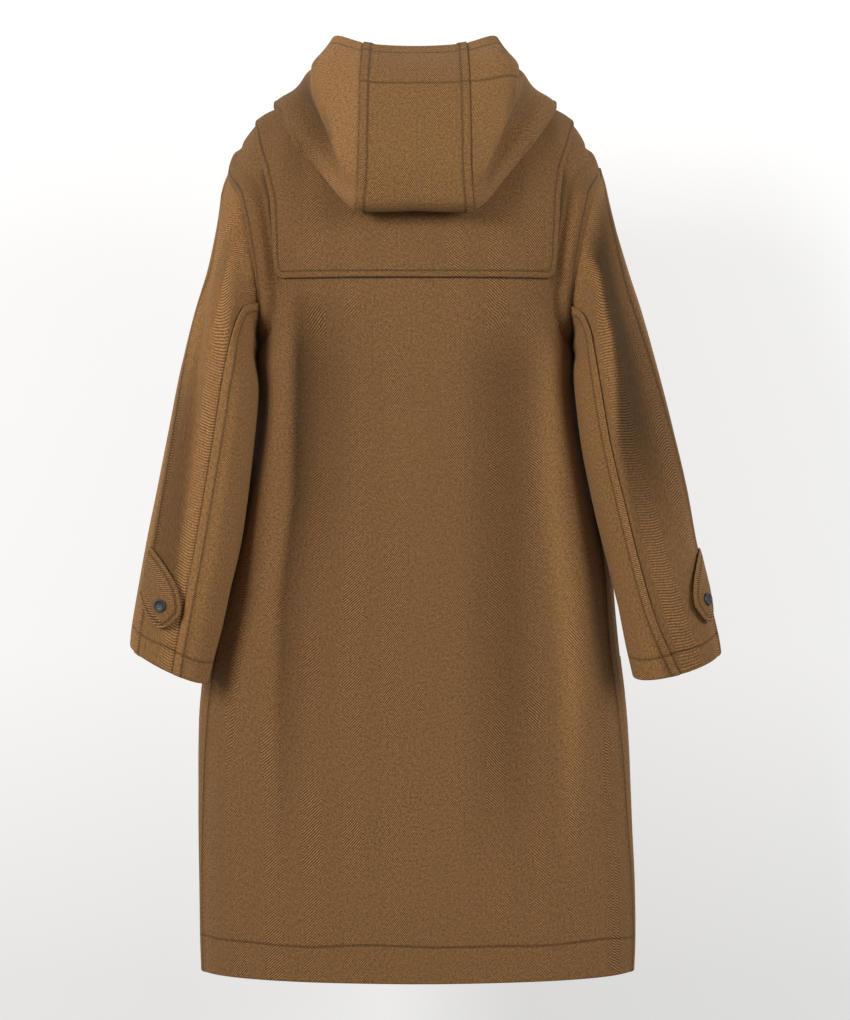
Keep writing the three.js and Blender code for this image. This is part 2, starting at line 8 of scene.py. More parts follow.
import bmesh
import bpy
import numpy as np
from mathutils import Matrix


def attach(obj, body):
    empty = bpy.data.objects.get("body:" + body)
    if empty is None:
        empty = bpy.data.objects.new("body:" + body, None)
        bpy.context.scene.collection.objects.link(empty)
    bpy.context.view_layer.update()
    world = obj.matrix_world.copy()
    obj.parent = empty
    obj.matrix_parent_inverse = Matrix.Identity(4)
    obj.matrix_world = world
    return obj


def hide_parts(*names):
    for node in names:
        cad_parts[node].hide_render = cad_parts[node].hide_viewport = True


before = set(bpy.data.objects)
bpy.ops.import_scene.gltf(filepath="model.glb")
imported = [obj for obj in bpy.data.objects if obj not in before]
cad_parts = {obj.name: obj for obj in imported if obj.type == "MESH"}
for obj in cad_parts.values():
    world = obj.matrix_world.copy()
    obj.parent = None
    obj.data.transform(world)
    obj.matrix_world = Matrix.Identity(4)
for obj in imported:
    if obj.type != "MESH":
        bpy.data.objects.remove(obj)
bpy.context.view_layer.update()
scene = bpy.context.scene


# Camera, backdrop and light. The coat hangs before a pale wall, seen level from behind, in soft light from both
# sides, a little stronger from the left. The wall is clear from its far side, to let the coat's front be seen.
camera_data = bpy.data.cameras.new("camera")
camera = bpy.data.objects.new("camera", camera_data)
scene.collection.objects.link(camera)
camera.location = (-0.012, 3.320, -0.506)
camera.rotation_euler = (math.radians(90), 0, math.radians(180))
camera_data.lens = 94.1
camera_data.clip_end = 60
scene.camera = camera


def add_node(tree, kind, settings=None, **inputs):
    """Adds a shader node. A value that is a socket is linked, and any other one is set."""
    made = tree.nodes.new(kind)
    for key, value in (settings or {}).items():
        setattr(made, key, value)
    for key, value in inputs.items():
        numbered = key.startswith("in") and key[2:].isdigit()
        socket = made.inputs[int(key[2:]) if numbered else key.replace("_", " ")]
        if isinstance(value, bpy.types.NodeSocket):
            tree.links.new(value, socket)
        else:
            socket.default_value = value
    return made


def maths(tree, operation, first, second=0.0, third=0.0):
    made = add_node(tree, "ShaderNodeMath", {"operation": operation}, in0=first, in1=second, in2=third)
    return made.outputs[0]


def new_material(name):
    made = bpy.data.materials.new(name)
    made.use_nodes = True
    made.node_tree.nodes.clear()
    return made, made.node_tree


def grid_object(name, across, down):
    """A flat grid of cells from -1 to 1, across along X and down along -Y, as an object of its own."""
    shape = bmesh.new()
    bmesh.ops.create_grid(shape, x_segments=across, y_segments=down, size=1.0, calc_uvs=True)
    mesh = bpy.data.meshes.new(name)
    shape.to_mesh(mesh)
    shape.free()
    made = bpy.data.objects.new(name, mesh)
    scene.collection.objects.link(made)
    return made


wall = grid_object("backdrop", 1, 1)
places = np.empty((4, 3))
wall.data.vertices.foreach_get("co", places.ravel())
places = np.stack([-places[:, 0] * 4.0, np.full(4, -0.40), places[:, 1] * 4.0 - 0.5], axis=-1)
wall.data.vertices.foreach_set("co", places.ravel())
wall.data.update()
wall_material, tree = new_material("backdrop_paint")
position = add_node(tree, "ShaderNodeTexCoord").outputs["Object"]
height = add_node(tree, "ShaderNodeSeparateXYZ", Vector=position).outputs["Z"]
# The wall glows less towards its foot, as painted shade where the light on it falls off downwards.
painted_wall_glow = add_node(
    tree, "ShaderNodeMapRange", Value=height, From_Min=-1.16, From_Max=-0.70, To_Min=0.50, To_Max=0.62,
)
paint = add_node(tree, "ShaderNodeBsdfPrincipled", Base_Color=(0.42, 0.42, 0.415, 1), Roughness=0.9)
paint.inputs["Emission Color"].default_value = (1.0, 1.0, 0.995, 1)
tree.links.new(painted_wall_glow.outputs[0], paint.inputs["Emission Strength"])
clear = add_node(tree, "ShaderNodeBsdfTransparent")
far_side = add_node(tree, "ShaderNodeNewGeometry").outputs["Backfacing"]
mixed = add_node(tree, "ShaderNodeMixShader", in0=far_side, in1=paint.outputs[0], in2=clear.outputs[0])
add_node(tree, "ShaderNodeOutputMaterial", Surface=mixed.outputs[0])
wall.data.materials.append(wall_material)

world = bpy.data.worlds.new("room")
world.use_nodes = True
world.node_tree.nodes["Background"].inputs["Color"].default_value = (1.0, 0.99, 0.975, 1)
world.node_tree.nodes["Background"].inputs["Strength"].default_value = 0.22
scene.world = world
scene.view_settings.view_transform = "Standard"
scene.view_settings.look = "None"


def area_light(name, place, aim, size, power, colour):
    data = bpy.data.lights.new(name, "AREA")
    data.shape = "SQUARE"
    data.size = size
    data.energy = power
    data.color = colour
    made = bpy.data.objects.new(name, data)
    scene.collection.objects.link(made)
    made.location = place
    direction = np.array(aim) - np.array(place)
    flat = math.hypot(direction[0], direction[1])
    turn = math.atan2(direction[1], direction[0]) - math.pi / 2
    made.rotation_euler = (math.atan2(flat, -direction[2]), 0, turn)
    return made


area_light("window", (2.9, 3.1, 0.8), (0, 0, -0.3), 1.4, 138, (1.0, 0.985, 0.96))
area_light("room_fill", (-3.3, 2.7, 0.6), (0, 0, -0.4), 1.8, 98, (0.98, 0.985, 1.0))
area_light("front_fill", (0.4, -3.0, 0.8), (0, 0, -0.5), 2.0, 30, (1.0, 0.99, 0.97))


# Back panel: one piece of heavy wool from the neck to the hem. Its side seams lap over the fronts and its
# armhole edge laps over the sleeve, each raised and topstitched, and its hem is turned up 45 mm and stitched.
def table(names, rows):
    return {name: np.array(values, float) for name, values in zip(names, zip(*rows))}


def smooth_between(share, start, end, start_slope, end_slope):
    """A cubic curve from start to end that leaves and arrives at the given slopes."""
    square, cube = share**2, share**3
    return (
        (2 * cube - 3 * square + 1) * start
        + (cube - 2 * square + share) * start_slope
        + (3 * square - 2 * cube) * end
        + (cube - square) * end_slope
    )


def read(columns, name, place):
    """Smooth reading of one column between the rows of a table."""
    values = columns[name]
    last = len(values) - 1
    place = np.asarray(place, float)
    row = np.clip(np.floor(place).astype(int), 0, last - 1)
    share = place - row
    before, start, end, after = (values[np.clip(row + step, 0, last)] for step in (-1, 0, 1, 2))
    return smooth_between(share, start, end, (end - before) / 2, (after - start) / 2)


def smooth_rise(value, low, high):
    share = np.clip((value - low) / (high - low), 0, 1)
    return share * share * (3 - 2 * share)


def hump(value, middle, spread):
    return np.exp(-(((value - middle) / spread) ** 2))


body_rows = table(
    [
        "side_z", "back_z", "front_z", "half_width", "back_y", "front_y", "mid_x", "mid_y",
        "back_edge", "front_edge", "cape_edge",
    ],
    [
        [14, 2, -62, 96, 78, -104, 0, 0, 0, 0, 12],
        [1, -18, -80, 140, 88, -108, 0, 0, 0, 0, 12],
        [-9, -34, -95, 168, 93, -110, 0, 0, 0, 0, 12],
        [-19, -50, -108, 188, 97, -112, 1, 0, 0, 0, 14],
        [-32, -68, -122, 201, 101, -114, 1, 0, 0, 0, 19],
        [-52, -88, -138, 214, 105, -116, 2, 0, 0, 0, 30],
        [-80, -112, -158, 227, 109, -118, 2, 0, 0, 0, 39],
        [-118, -142, -182, 228, 112, -120, 0, -2, 25, -25, 41.5],
        [-158, -176, -207, 222, 114, -122, 0, -5, 27, -30, 40.5],
        [-196, -205, -229, 214, 116, -124, 0, -9, 26.5, -31, 38.5],
        [-223, -227, -246, 207, 117, -125, 0, -12, 24.5, -29, 37.5],
        [-256, -258, -268, 198, 118, -127, 0, -15, 20, -24, 33],
        [-290, -292, -296, 195, 118, -128, 0, -18, 0, 0, 30],
        [-325, -326, -328, 202, 118, -129, 0, -21, 3, 3, 30],
        [-362, -362, -362, 203, 117, -129, -2, -24, 6, 6, 30],
        [-412, -412, -412, 209, 116, -128, -4, -24, 9, 9, 30],
        [-465, -465, -465, 219, 115, -127, -4, -19, 12, 12, 31],
        [-525, -525, -525, 231, 113, -125, -3, -12, 15, 15, 32],
        [-585, -585, -585, 243, 112, -124, -2, -7, 17, 17, 33],
        [-640, -640, -640, 251, 111, -122, 1, -4, 18.5, 18.5, 34],
        [-690, -690, -690, 258, 110, -120, 3, -2, 18.5, 18.5, 34],
        [-745, -745, -745, 265, 109, -119, 3, 0, 17.5, 17.5, 34],
        [-800, -800, -800, 268, 108, -118, 2, 0, 15.5, 15.5, 33],
        [-850, -850, -850, 269, 108, -117, 1, 0, 13.5, 13.5, 32],
        [-900, -900, -900, 270, 107, -116, 0, 0, 12, 12, 31],
        [-965, -965, -965, 271, 107, -115, -2, 0, 10, 10, 30],
        [-1030, -1030, -1030, 271, 106, -114, -3, 0, 9, 9, 30],
        [-1077, -1078, -1078, 269, 105, -113, -3, 0, 8, 8, 30],
    ],
)
SHOULDER_ROW = 6
CAPE_LAST_ROW = 10
UNDERARM_ROW = 12
HEM_ROW = 27
CLOTH = 3.0
SEAM_GAP = 0.3
SEAM_STITCH = 10.0
SEAM_RISE = 1.8
ARMHOLE_STITCH = 9.5
HEM_TURN = 45.0
FAR_OFF = 50.0

# Long soft folds: where each runs at its top and bottom, how wide it is, and how far it stands out or in
folds = table(
    ["top_angle", "bottom_angle", "spread", "depth", "top_z", "bottom_z"],
    [
        [55, 53, 13, -15, -225, -660],
        [45, 44, 6, -9, -235, -600],
        [36, 36, 6, 11, -240, -620],
        [124, 121, 13, -13, -240, -800],
        [142, 141, 8, 11, -250, -800],
        [108, 104, 12, -4, -330, -900],
        [142, 140, 12, 5, -560, -980],
        [66, 62, 13, 5, -720, -1120],
        [90, 91, 16, 4, -860, -1160],
        [-52, -50, 14, -9, -260, -800],
        [-128, -131, 14, -9, -280, -760],
        [-30, -28, 12, 5, -620, -1120],
        [-150, -152, 12, 5, -640, -1120],
    ],
)


def fold_depth(angle, height):
    depth = np.zeros(np.broadcast(angle, height).shape)
    for top_angle, bottom_angle, spread, deep, top, bottom in zip(*folds.values()):
        along = np.clip((height - top) / (bottom - top), 0, 1)
        centre = top_angle + (bottom_angle - top_angle) * along
        depth += deep * hump(np.degrees(angle), centre, spread) * np.sin(np.pi * along)
    return depth


def body_point(angle, row):
    """A point of the body's outer face. The angle runs from the left side (0) over the back (90 degrees)."""
    at = {name: read(body_rows, name, row) for name in list(body_rows)[:8]}
    cosine, sine = np.cos(angle), np.sin(angle)
    middle_z = np.where(sine >= 0, at["back_z"], at["front_z"])
    middle_y = np.where(sine >= 0, at["back_y"] - at["mid_y"], at["mid_y"] - at["front_y"])
    height = at["side_z"] + (middle_z - at["side_z"]) * np.abs(sine) ** 1.8
    reach = 1 + 0.03 * np.sin(2 * angle) ** 2
    depth = fold_depth(np.arctan2(sine, cosine), height)
    x = at["mid_x"] + (at["half_width"] * reach + depth) * cosine
    y = at["mid_y"] + (middle_y * reach + depth) * sine
    return np.stack([x, y, height], axis=-1)


def edge_angle(name, row):
    """The angle of a panel's edge. It never swings past its rows, and it may turn sharply at the underarm."""
    row = np.asarray(row, float)
    angle = np.empty(row.shape)
    for first, last in ((0, UNDERARM_ROW), (UNDERARM_ROW, HEM_ROW)):
        values = body_rows[name][first : last + 1]
        steps = np.diff(values)
        product, total = steps[:-1] * steps[1:], steps[:-1] + steps[1:]
        inner = np.where(product > 0, 2 * product / np.where(total == 0, 1, total), 0)
        slopes = np.concatenate([steps[:1], inner, steps[-1:]])
        here = (row >= first) if first else np.ones(row.shape, bool)
        place = np.clip(row[here] - first, 0, last - first)
        step = np.clip(np.floor(place).astype(int), 0, last - first - 1)
        share = place - step
        angle[here] = smooth_between(share, values[step], values[step + 1], slopes[step], slopes[step + 1])
    return np.radians(angle)


def seam_shift(row, angle):
    width = read(body_rows, "half_width", row)
    return (SEAM_GAP / 2) / (width * np.maximum(np.abs(np.sin(angle)), 0.55))


def spaced(length, cell, close=(0.5, 1.2, 2.2, 3.6, 5.5, 8, 10.5, 13, 16)):
    """Places from 0 to 1 along a length, about a cell apart, and closer at both ends."""
    near = np.array((0.0, *close)) / length
    count = max(int(round((length - 2 * close[-1]) / cell)), 1)
    middle = np.linspace(near[-1], 1 - near[-1], count + 1)[1:-1]
    return np.concatenate([near, middle, 1 - near[::-1]])


def unit(vectors):
    return vectors / np.maximum(np.linalg.norm(vectors, axis=-1, keepdims=True), 1e-9)


def outward_of(points, turn):
    """The outward direction at each point of a grid of points [down, across]."""
    return unit(np.cross(np.gradient(points, axis=1), np.gradient(points, axis=0)) * turn)


def distance_to(points, line):
    """How far each point lies from a line of straight stretches."""
    flat = points.reshape(-1, 3)
    nearest = np.full(len(flat), 1e9)
    for start, end in zip(line[:-1], line[1:]):
        along = end - start
        share = np.clip((flat - start) @ along / max(along @ along, 1e-12), 0, 1)
        nearest = np.minimum(nearest, np.linalg.norm(flat - start - share[:, None] * along, axis=1))
    return nearest.reshape(points.shape[:2])


def rolled(distance, radius=1.6):
    """How far a cloth's outer face drops as it rolls over an edge."""
    share = 1 - np.clip(distance / radius, 0, 1)
    return radius * (1 - np.sqrt(1 - share**2))


def seam_lap(distance):
    """How far a lapped seam is raised by the turnings under its topstitching."""
    return SEAM_RISE * (1 - smooth_rise(distance, SEAM_STITCH + 0.5, SEAM_STITCH + 3.5))


def lengths(points):
    """Lengths of the cloth at each point: across from the middle column, and down from the top."""
    across = np.linalg.norm(np.diff(points, axis=1), axis=-1)
    across = np.concatenate([np.zeros((len(points), 1)), np.cumsum(across, axis=1)], axis=1)
    middle = points.shape[1] // 2
    down = np.linalg.norm(np.diff(points, axis=0), axis=-1)
    down = np.concatenate([np.zeros((1, points.shape[1])), np.cumsum(down, axis=0)], axis=0)
    return across - across[:, middle : middle + 1], down


WEAVE = {"column": 25.0, "pitch": 1.85, "steep": 57.0, "shade": 1.5, "relief": 0.62}
WOOL = (0.222, 0.112, 0.0415)
GROOVE_WIDTH = 1.5
THREAD_WIDTH = 0.55
STITCH_PITCH = 3.6
EDGE_GROOVE_AND_SHADE_WIDTH = 0.9


def wool_material(name, painted_brightness=1.0, weave=1.0):
    """Brushed herringbone coating wool, with the grooves and threads of its topstitching, and painted light and
    shade.
    """
    made, tree = new_material(name)
    cloth_uv = add_node(tree, "ShaderNodeUVMap", {"uv_map": "cloth"}).outputs[0]
    split = add_node(tree, "ShaderNodeSeparateXYZ", Vector=cloth_uv)
    drift = add_node(tree, "ShaderNodeTexNoise", Vector=cloth_uv, Scale=38.0, Detail=2.0)
    sway = maths(tree, "MULTIPLY_ADD", drift.outputs[0], 3.0, -1.5)
    across = maths(tree, "MULTIPLY_ADD", split.outputs[0], 1000.0, sway)
    down = maths(tree, "MULTIPLY_ADD", split.outputs[1], 1000.0, sway)
    zigzag = maths(tree, "PINGPONG", maths(tree, "ADD", across, WEAVE["column"] / 2), WEAVE["column"])
    slope = math.tan(math.radians(WEAVE["steep"]))
    turns = 2 * math.pi * math.cos(math.radians(WEAVE["steep"])) / WEAVE["pitch"]
    rib_place = maths(tree, "MULTIPLY", maths(tree, "MULTIPLY_ADD", zigzag, slope, down), turns)
    rib = maths(tree, "MULTIPLY_ADD", maths(tree, "SINE", rib_place), 0.5, 0.5)

    nap = add_node(tree, "ShaderNodeTexNoise", Vector=cloth_uv, Scale=340.0, Detail=4.0, Roughness=0.75)
    worn = add_node(tree, "ShaderNodeTexNoise", Vector=cloth_uv, Scale=9.0, Detail=3.0)
    brushed = add_node(
        tree, "ShaderNodeMapRange", Value=worn.outputs[0],
        From_Min=0.35, From_Max=0.65, To_Min=0.35, To_Max=1.0,
    )
    rib_strength = maths(tree, "MULTIPLY", brushed.outputs[0], weave)

    grooves = []
    threads = []
    for attribute, along in (("stitch_down", down), ("stitch_across", across)):
        distance = add_node(tree, "ShaderNodeAttribute", {"attribute_name": attribute}).outputs["Fac"]
        square = maths(tree, "MULTIPLY", distance, distance)
        grooves.append(maths(tree, "EXPONENT", maths(tree, "MULTIPLY", square, -1 / GROOVE_WIDTH**2)))
        thread = maths(tree, "EXPONENT", maths(tree, "MULTIPLY", square, -1 / THREAD_WIDTH**2))
        stitch_share = maths(tree, "FRACT", maths(tree, "DIVIDE", along, STITCH_PITCH))
        dash = maths(tree, "GREATER_THAN", stitch_share, 0.28)
        threads.append(maths(tree, "MULTIPLY", thread, dash))
    edge = add_node(tree, "ShaderNodeAttribute", {"attribute_name": "seam_line"}).outputs["Fac"]
    edge = maths(tree, "MULTIPLY", maths(tree, "MULTIPLY", edge, edge), -1 / EDGE_GROOVE_AND_SHADE_WIDTH**2)
    edge = maths(tree, "EXPONENT", edge)
    groove = maths(tree, "MINIMUM", maths(tree, "ADD", maths(tree, "ADD", grooves[0], grooves[1]), edge), 1.0)
    thread = maths(tree, "MAXIMUM", threads[0], threads[1])

    rib_shade = maths(tree, "MULTIPLY", rib_strength, WEAVE["shade"])
    shade = maths(tree, "MULTIPLY_ADD", maths(tree, "SUBTRACT", rib, 0.5), rib_shade, 1.0)
    shade = maths(tree, "MULTIPLY", shade, maths(tree, "MULTIPLY_ADD", nap.outputs[0], 2.7, -0.36))
    shade = maths(tree, "MULTIPLY", shade, maths(tree, "MULTIPLY_ADD", worn.outputs[0], 0.22, 0.89))
    # Painted shade: the stitch grooves and the line along an edge darken the colour, as well as dipping the
    # relief.
    shade = maths(tree, "MULTIPLY", shade, maths(tree, "MULTIPLY_ADD", groove, -0.42, 1.0))
    # Painted shade from the shading attribute, and painted light where it is below zero, scaled by the piece's
    # brightness setting.
    painted_shading_value = add_node(tree, "ShaderNodeAttribute", {"attribute_name": "nap_shade"}).outputs["Fac"]
    shade = maths(tree, "MULTIPLY", shade, maths(tree, "MULTIPLY_ADD", painted_shading_value, -painted_brightness, painted_brightness))
    base = add_node(tree, "ShaderNodeMix", {"data_type": "RGBA", "blend_type": "MULTIPLY"}, in0=1.0)
    base.inputs[6].default_value = (*WOOL, 1)
    grey = add_node(tree, "ShaderNodeCombineColor", in0=shade, in1=shade, in2=shade)
    tree.links.new(grey.outputs[0], base.inputs[7])

    relief = maths(tree, "MULTIPLY", rib, maths(tree, "MULTIPLY", rib_strength, WEAVE["relief"]))
    relief = maths(tree, "MULTIPLY_ADD", nap.outputs[0], 0.50, relief)
    relief = maths(tree, "MULTIPLY_ADD", groove, -1.5, relief)
    relief = maths(tree, "MULTIPLY_ADD", thread, 0.5, relief)
    bump = add_node(tree, "ShaderNodeBump", Height=relief, Strength=0.75, Distance=0.001)
    cloth = add_node(
        tree, "ShaderNodeBsdfPrincipled", Base_Color=base.outputs[2], Roughness=0.92, Normal=bump.outputs[0],
    )
    cloth.inputs["Specular IOR Level"].default_value = 0.18
    cloth.inputs["Sheen Weight"].default_value = 0.16
    cloth.inputs["Sheen Roughness"].default_value = 0.45
    cloth.inputs["Sheen Tint"].default_value = (0.92, 0.74, 0.52, 1)
    add_node(tree, "ShaderNodeOutputMaterial", Surface=cloth.outputs[0])
    return made


def cloth_piece(name, points, offset, turn, nodes, stitch_down=None, stitch_across=None, seam_line=None,
                nap_shade=None, thickness=CLOTH, painted_brightness=1.0, weave=1.0):
    """A panel of cloth on a grid of points [down, across], moved out by offset, with its thickness inside.

    nap_shade is painted shade at each point, and painted light where it is below zero.
    """
    final = points + outward_of(points, turn) * np.asarray(offset)[..., None]
    down_cells, across_cells = final.shape[0] - 1, final.shape[1] - 1
    made = grid_object(name, across_cells, down_cells)
    mesh = made.data
    flat = np.empty(len(mesh.vertices) * 3)
    mesh.vertices.foreach_get("co", flat)
    flat = flat.reshape(-1, 3)
    column = np.rint((flat[:, 0] + 1) / 2 * across_cells).astype(int)
    row = np.rint((1 - flat[:, 1]) / 2 * down_cells).astype(int)
    mesh.vertices.foreach_set("co", (final[row, column] / 1000).ravel())
    across, down = lengths(final)
    loop_vertex = np.empty(len(mesh.loops), int)
    mesh.loops.foreach_get("vertex_index", loop_vertex)
    for layer in list(mesh.uv_layers):
        mesh.uv_layers.remove(layer)
    cloth_uv = np.stack([across[row, column], -down[row, column]], axis=-1)[loop_vertex] / 1000
    mesh.uv_layers.new(name="cloth").data.foreach_set("uv", cloth_uv.ravel())
    lines = {"stitch_down": stitch_down, "stitch_across": stitch_across, "seam_line": seam_line}
    for attribute, values in lines.items():
        values = np.full(final.shape[:2], FAR_OFF) if values is None else np.clip(values, -FAR_OFF, FAR_OFF)
        mesh.attributes.new(attribute, "FLOAT", "POINT").data.foreach_set("value", values[row, column])
    if nap_shade is not None:
        mesh.attributes.new("nap_shade", "FLOAT", "POINT").data.foreach_set("value", nap_shade[row, column])
    mesh.update()
    face = mesh.polygons[len(mesh.polygons) // 2]
    inside = outward_of(final, turn)[row[face.vertices[0]], column[face.vertices[0]]]
    if np.dot(np.array(face.normal), inside) < 0:
        mesh.flip_normals()
    mesh.polygons.foreach_set("use_smooth", np.ones(len(mesh.polygons), bool))
    solid = made.modifiers.new("cloth thickness", "SOLIDIFY")
    solid.thickness = thickness / 1000
    solid.offset = -1
    mesh.materials.append(wool_material(name + "_wool", painted_brightness, weave))
    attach(made, "root")
    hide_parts(*nodes)
    return made


def armhole_ridge(points, row, edge_line):
    """How the cloth stands up along an armhole and sinks into a narrow crease beside it."""
    distance = distance_to(points, edge_line)
    strength = smooth_rise(row, 6.0, 7.0) * (1 - smooth_rise(row, 11.0, 12.6))
    ridge = 8.5 * (1 - smooth_rise(distance, 17, 26)) - 5.5 * hump(distance, 28.5, 3.8)
    return ridge * (0.35 + 0.65 * strength) * (1 - smooth_rise(row, 11.6, 12.8)), distance


def body_edge(name, rows, mirrored):
    angle = edge_angle(name, rows)
    return body_point(np.pi - angle if mirrored else angle, rows)


armhole_rows = np.linspace(SHOULDER_ROW, UNDERARM_ROW, 40)
side_rows = np.linspace(UNDERARM_ROW, HEM_ROW, 50)
armhole_lines = {side: body_edge("back_edge", armhole_rows, side < 0) for side in (1, -1)}
front_armhole_lines = {side: body_edge("front_edge", armhole_rows, side < 0) for side in (1, -1)}


def back_grid(across, rows, start_name="back_edge"):
    share, row = np.meshgrid(across, rows)
    start = edge_angle(start_name, row)
    start = start + seam_shift(row, start)
    return body_point(start + (np.pi - 2 * start) * share, row), share, row


def back_ridges(points, row):
    """The ridges along both armholes, and the distance to the nearer armhole."""
    left, near_left = armhole_ridge(points, row, armhole_lines[1])
    right, near_right = armhole_ridge(points, row, armhole_lines[-1])
    return left + right, np.minimum(near_left, near_right)


back_rows = spaced(1090, 5.6) * HEM_ROW
points, share, row = back_grid(spaced(560, 4.4), back_rows)
ridge, armhole_distance = back_ridges(points, row)
side_distance = np.minimum(
    distance_to(points, body_edge("back_edge", side_rows, False)),
    distance_to(points, body_edge("back_edge", side_rows, True)),
)
hem_distance = distance_to(points, points[-1])
below = smooth_rise(row, UNDERARM_ROW, UNDERARM_ROW + 0.6)
edge_drop = rolled(np.minimum(armhole_distance, side_distance)) + rolled(hem_distance, 2.2)
offset = ridge + seam_lap(side_distance) * below - edge_drop
hem_wave = 1.2 * np.sin(share * 17) + 0.8 * np.sin(share * 31 + 1)
x, z = points[..., 0], points[..., 2]
# Painted shade in the long fold beside the left armhole and in the shallow valley on the right, painted shadow
# along the cape's side edges, and painted light on the ridge by the right armhole; the back's brightness is
# also set a little low.
from_fold = np.interp(z, [-736, -615, -494, -312], [162, 160, 145, 141]) - x
back_painted_shading = np.where(from_fold > 0, np.exp(-np.abs(from_fold) / 36), hump(from_fold, 0, 8))
back_painted_shading *= np.interp(
    z, [-980, -860, -736, -615, -494, -400, -312, -262, -235], [0, 0.1, 0.3, 0.48, 0.62, 0.66, 0.64, 0.3, 0],
)
in_middle = smooth_rise(-z, 250, 340) * (1 - smooth_rise(-z, 700, 1000))
right_ridge = np.interp(z, [-736, -615, -494, -312], [-190, -181, -167, -163])
cape_side = edge_angle("cape_edge", armhole_rows)
cape_lines = [body_point(angle, armhole_rows) for angle in (cape_side, np.pi - cape_side)]
by_cape = np.minimum(*(distance_to(points, line) for line in cape_lines))
back_painted_shading += 0.6 * hump(by_cape, 1.5, 4.0) * smooth_rise(row, 5.5, 6.5) * (1 - smooth_rise(row, 9.6, 10.6))
back_painted_shading += (0.26 * hump(x, -112, 42) - 0.30 * hump(x, right_ridge, 15)) * in_middle
cloth_piece(
    "cloth_back", points, offset, -1, ["back"], nap_shade=back_painted_shading, painted_brightness=0.95,
    stitch_down=np.where(
        row < UNDERARM_ROW + 0.2, armhole_distance - ARMHOLE_STITCH, side_distance - SEAM_STITCH,
    ),
    stitch_across=hem_distance - HEM_TURN - hem_wave,
)


# Shoulder cape: a second layer on the back and over the shoulders. Its edge is turned in and stitched twice,
# with rounded corners.
def rounded_corner(side, end, radius):
    """Moves points near a corner on to a round one, from their distances to the two edges."""
    across, along = radius - side, radius - end
    inside = (across > 0) & (along > 0)
    square = np.maximum(across, along)
    reach = np.hypot(across, along)
    scale = np.where(inside, square / np.maximum(reach, 1e-9), 1)
    new_side = np.where(inside, radius - across * scale, side)
    new_end = np.where(inside, radius - along * scale, end)
    edge = np.where(inside, radius - square, np.minimum(side, end))
    return new_side, new_end, edge


CAPE_WIDTH = 365.0
CAPE_ROW_LENGTH = 29.0
cape_across = spaced(CAPE_WIDTH, 3.4)
cape_rows = np.concatenate([np.linspace(0, 5, 26), CAPE_LAST_ROW - (spaced(145, 3.4) * 5)[::-1][1:]])
share, row = np.meshgrid(cape_across, cape_rows)
side = np.minimum(share, 1 - share) * CAPE_WIDTH
end = (CAPE_LAST_ROW - row) * CAPE_ROW_LENGTH
new_side, new_end, edge_distance = rounded_corner(side, end, 16.0)
share = np.where(share < 0.5, new_side, CAPE_WIDTH - new_side) / CAPE_WIDTH
row = CAPE_LAST_ROW - new_end / CAPE_ROW_LENGTH
cape_start = edge_angle("cape_edge", row) * smooth_rise(row, 3.0, 4.3)
cape_start = cape_start + seam_shift(row, cape_start)
points = body_point(cape_start + (np.pi - 2 * cape_start) * share, row)
ridge, armhole_distance = back_ridges(points, row)
free_edge = np.where(row > 3.4, edge_distance, FAR_OFF)
offset = ridge + SEAM_GAP + CLOTH + 0.6 * hump(free_edge, 5.5, 3.5) - rolled(free_edge, 2.0)
# Painted shade: the cape's brightness is set a little low, and a dark line with a groove in its relief runs
# along its free edge.
cloth_piece(
    "cloth_yoke_back", points, offset, -1, ["yoke_back"], painted_brightness=0.93,
    stitch_down=free_edge - 10.5, seam_line=free_edge - 0.4,
)


# Fronts: the left one laps over the right one at the centre front. They show from behind only as narrow strips
# past the side seams. Front edges are topstitched, and the hem runs on from the back's.
FRONT_OVERLAP = 45.0
NECK_OVERLAP = 26.0
OVERLAP_RISE = 40.0
OVERLAP_GAP = 2.2
EDGE_STITCH = 9.0


def front_lap(x):
    return 1 - smooth_rise(x, FRONT_OVERLAP + 6, FRONT_OVERLAP + 6 + OVERLAP_RISE)


def front_grid(side, share, row, under=0.0):
    """Points of a front, from its side seam (or an angle under it), and how far the left one has risen."""
    edge = edge_angle("front_edge", row)
    start = edge - seam_shift(row, edge)
    overlap = NECK_OVERLAP + (FRONT_OVERLAP - NECK_OVERLAP) * smooth_rise(row, 0, SHOULDER_ROW)
    end = -np.pi / 2 - np.arcsin(overlap / read(body_rows, "half_width", row))
    angle = start + (end - start) * share + under
    points = body_point(angle if side > 0 else np.pi - angle, row)
    lift = (CLOTH + OVERLAP_GAP) * front_lap(points[..., 0]) if side > 0 else np.zeros(share.shape)
    return points, lift


FRONT_WIDTH = 330.0
UNDER_BACK_ANGLE = np.radians(3.0)
UNDER_BACK_DROP = 3.4
for side_name, side in (("left", 1), ("right", -1)):
    share, row = np.meshgrid(spaced(FRONT_WIDTH, 8.0), spaced(1060, 8.0) * HEM_ROW)
    tucked = np.maximum(1 - share * 30, 0) * smooth_rise(row, UNDERARM_ROW - 1.0, UNDERARM_ROW + 0.5)
    points, lift = front_grid(side, share, row, UNDER_BACK_ANGLE * tucked)
    lift = lift - UNDER_BACK_DROP * tucked
    ridge, armhole_distance = armhole_ridge(points, row, front_armhole_lines[side])
    edge_distance = distance_to(points, points[:, -1])
    hem_distance = distance_to(points, points[-1])
    by_armhole = np.where(row < UNDERARM_ROW, armhole_distance - ARMHOLE_STITCH, FAR_OFF)
    offset = ridge + lift - rolled(np.minimum(armhole_distance, edge_distance)) - rolled(hem_distance, 2.2)
    cloth_piece(
        f"cloth_front_{side_name}", points, offset, side, [f"front_{side_name}"],
        stitch_down=np.where(share > 0.5, edge_distance - EDGE_STITCH, by_armhole),
        stitch_across=hem_distance - HEM_TURN,
    )


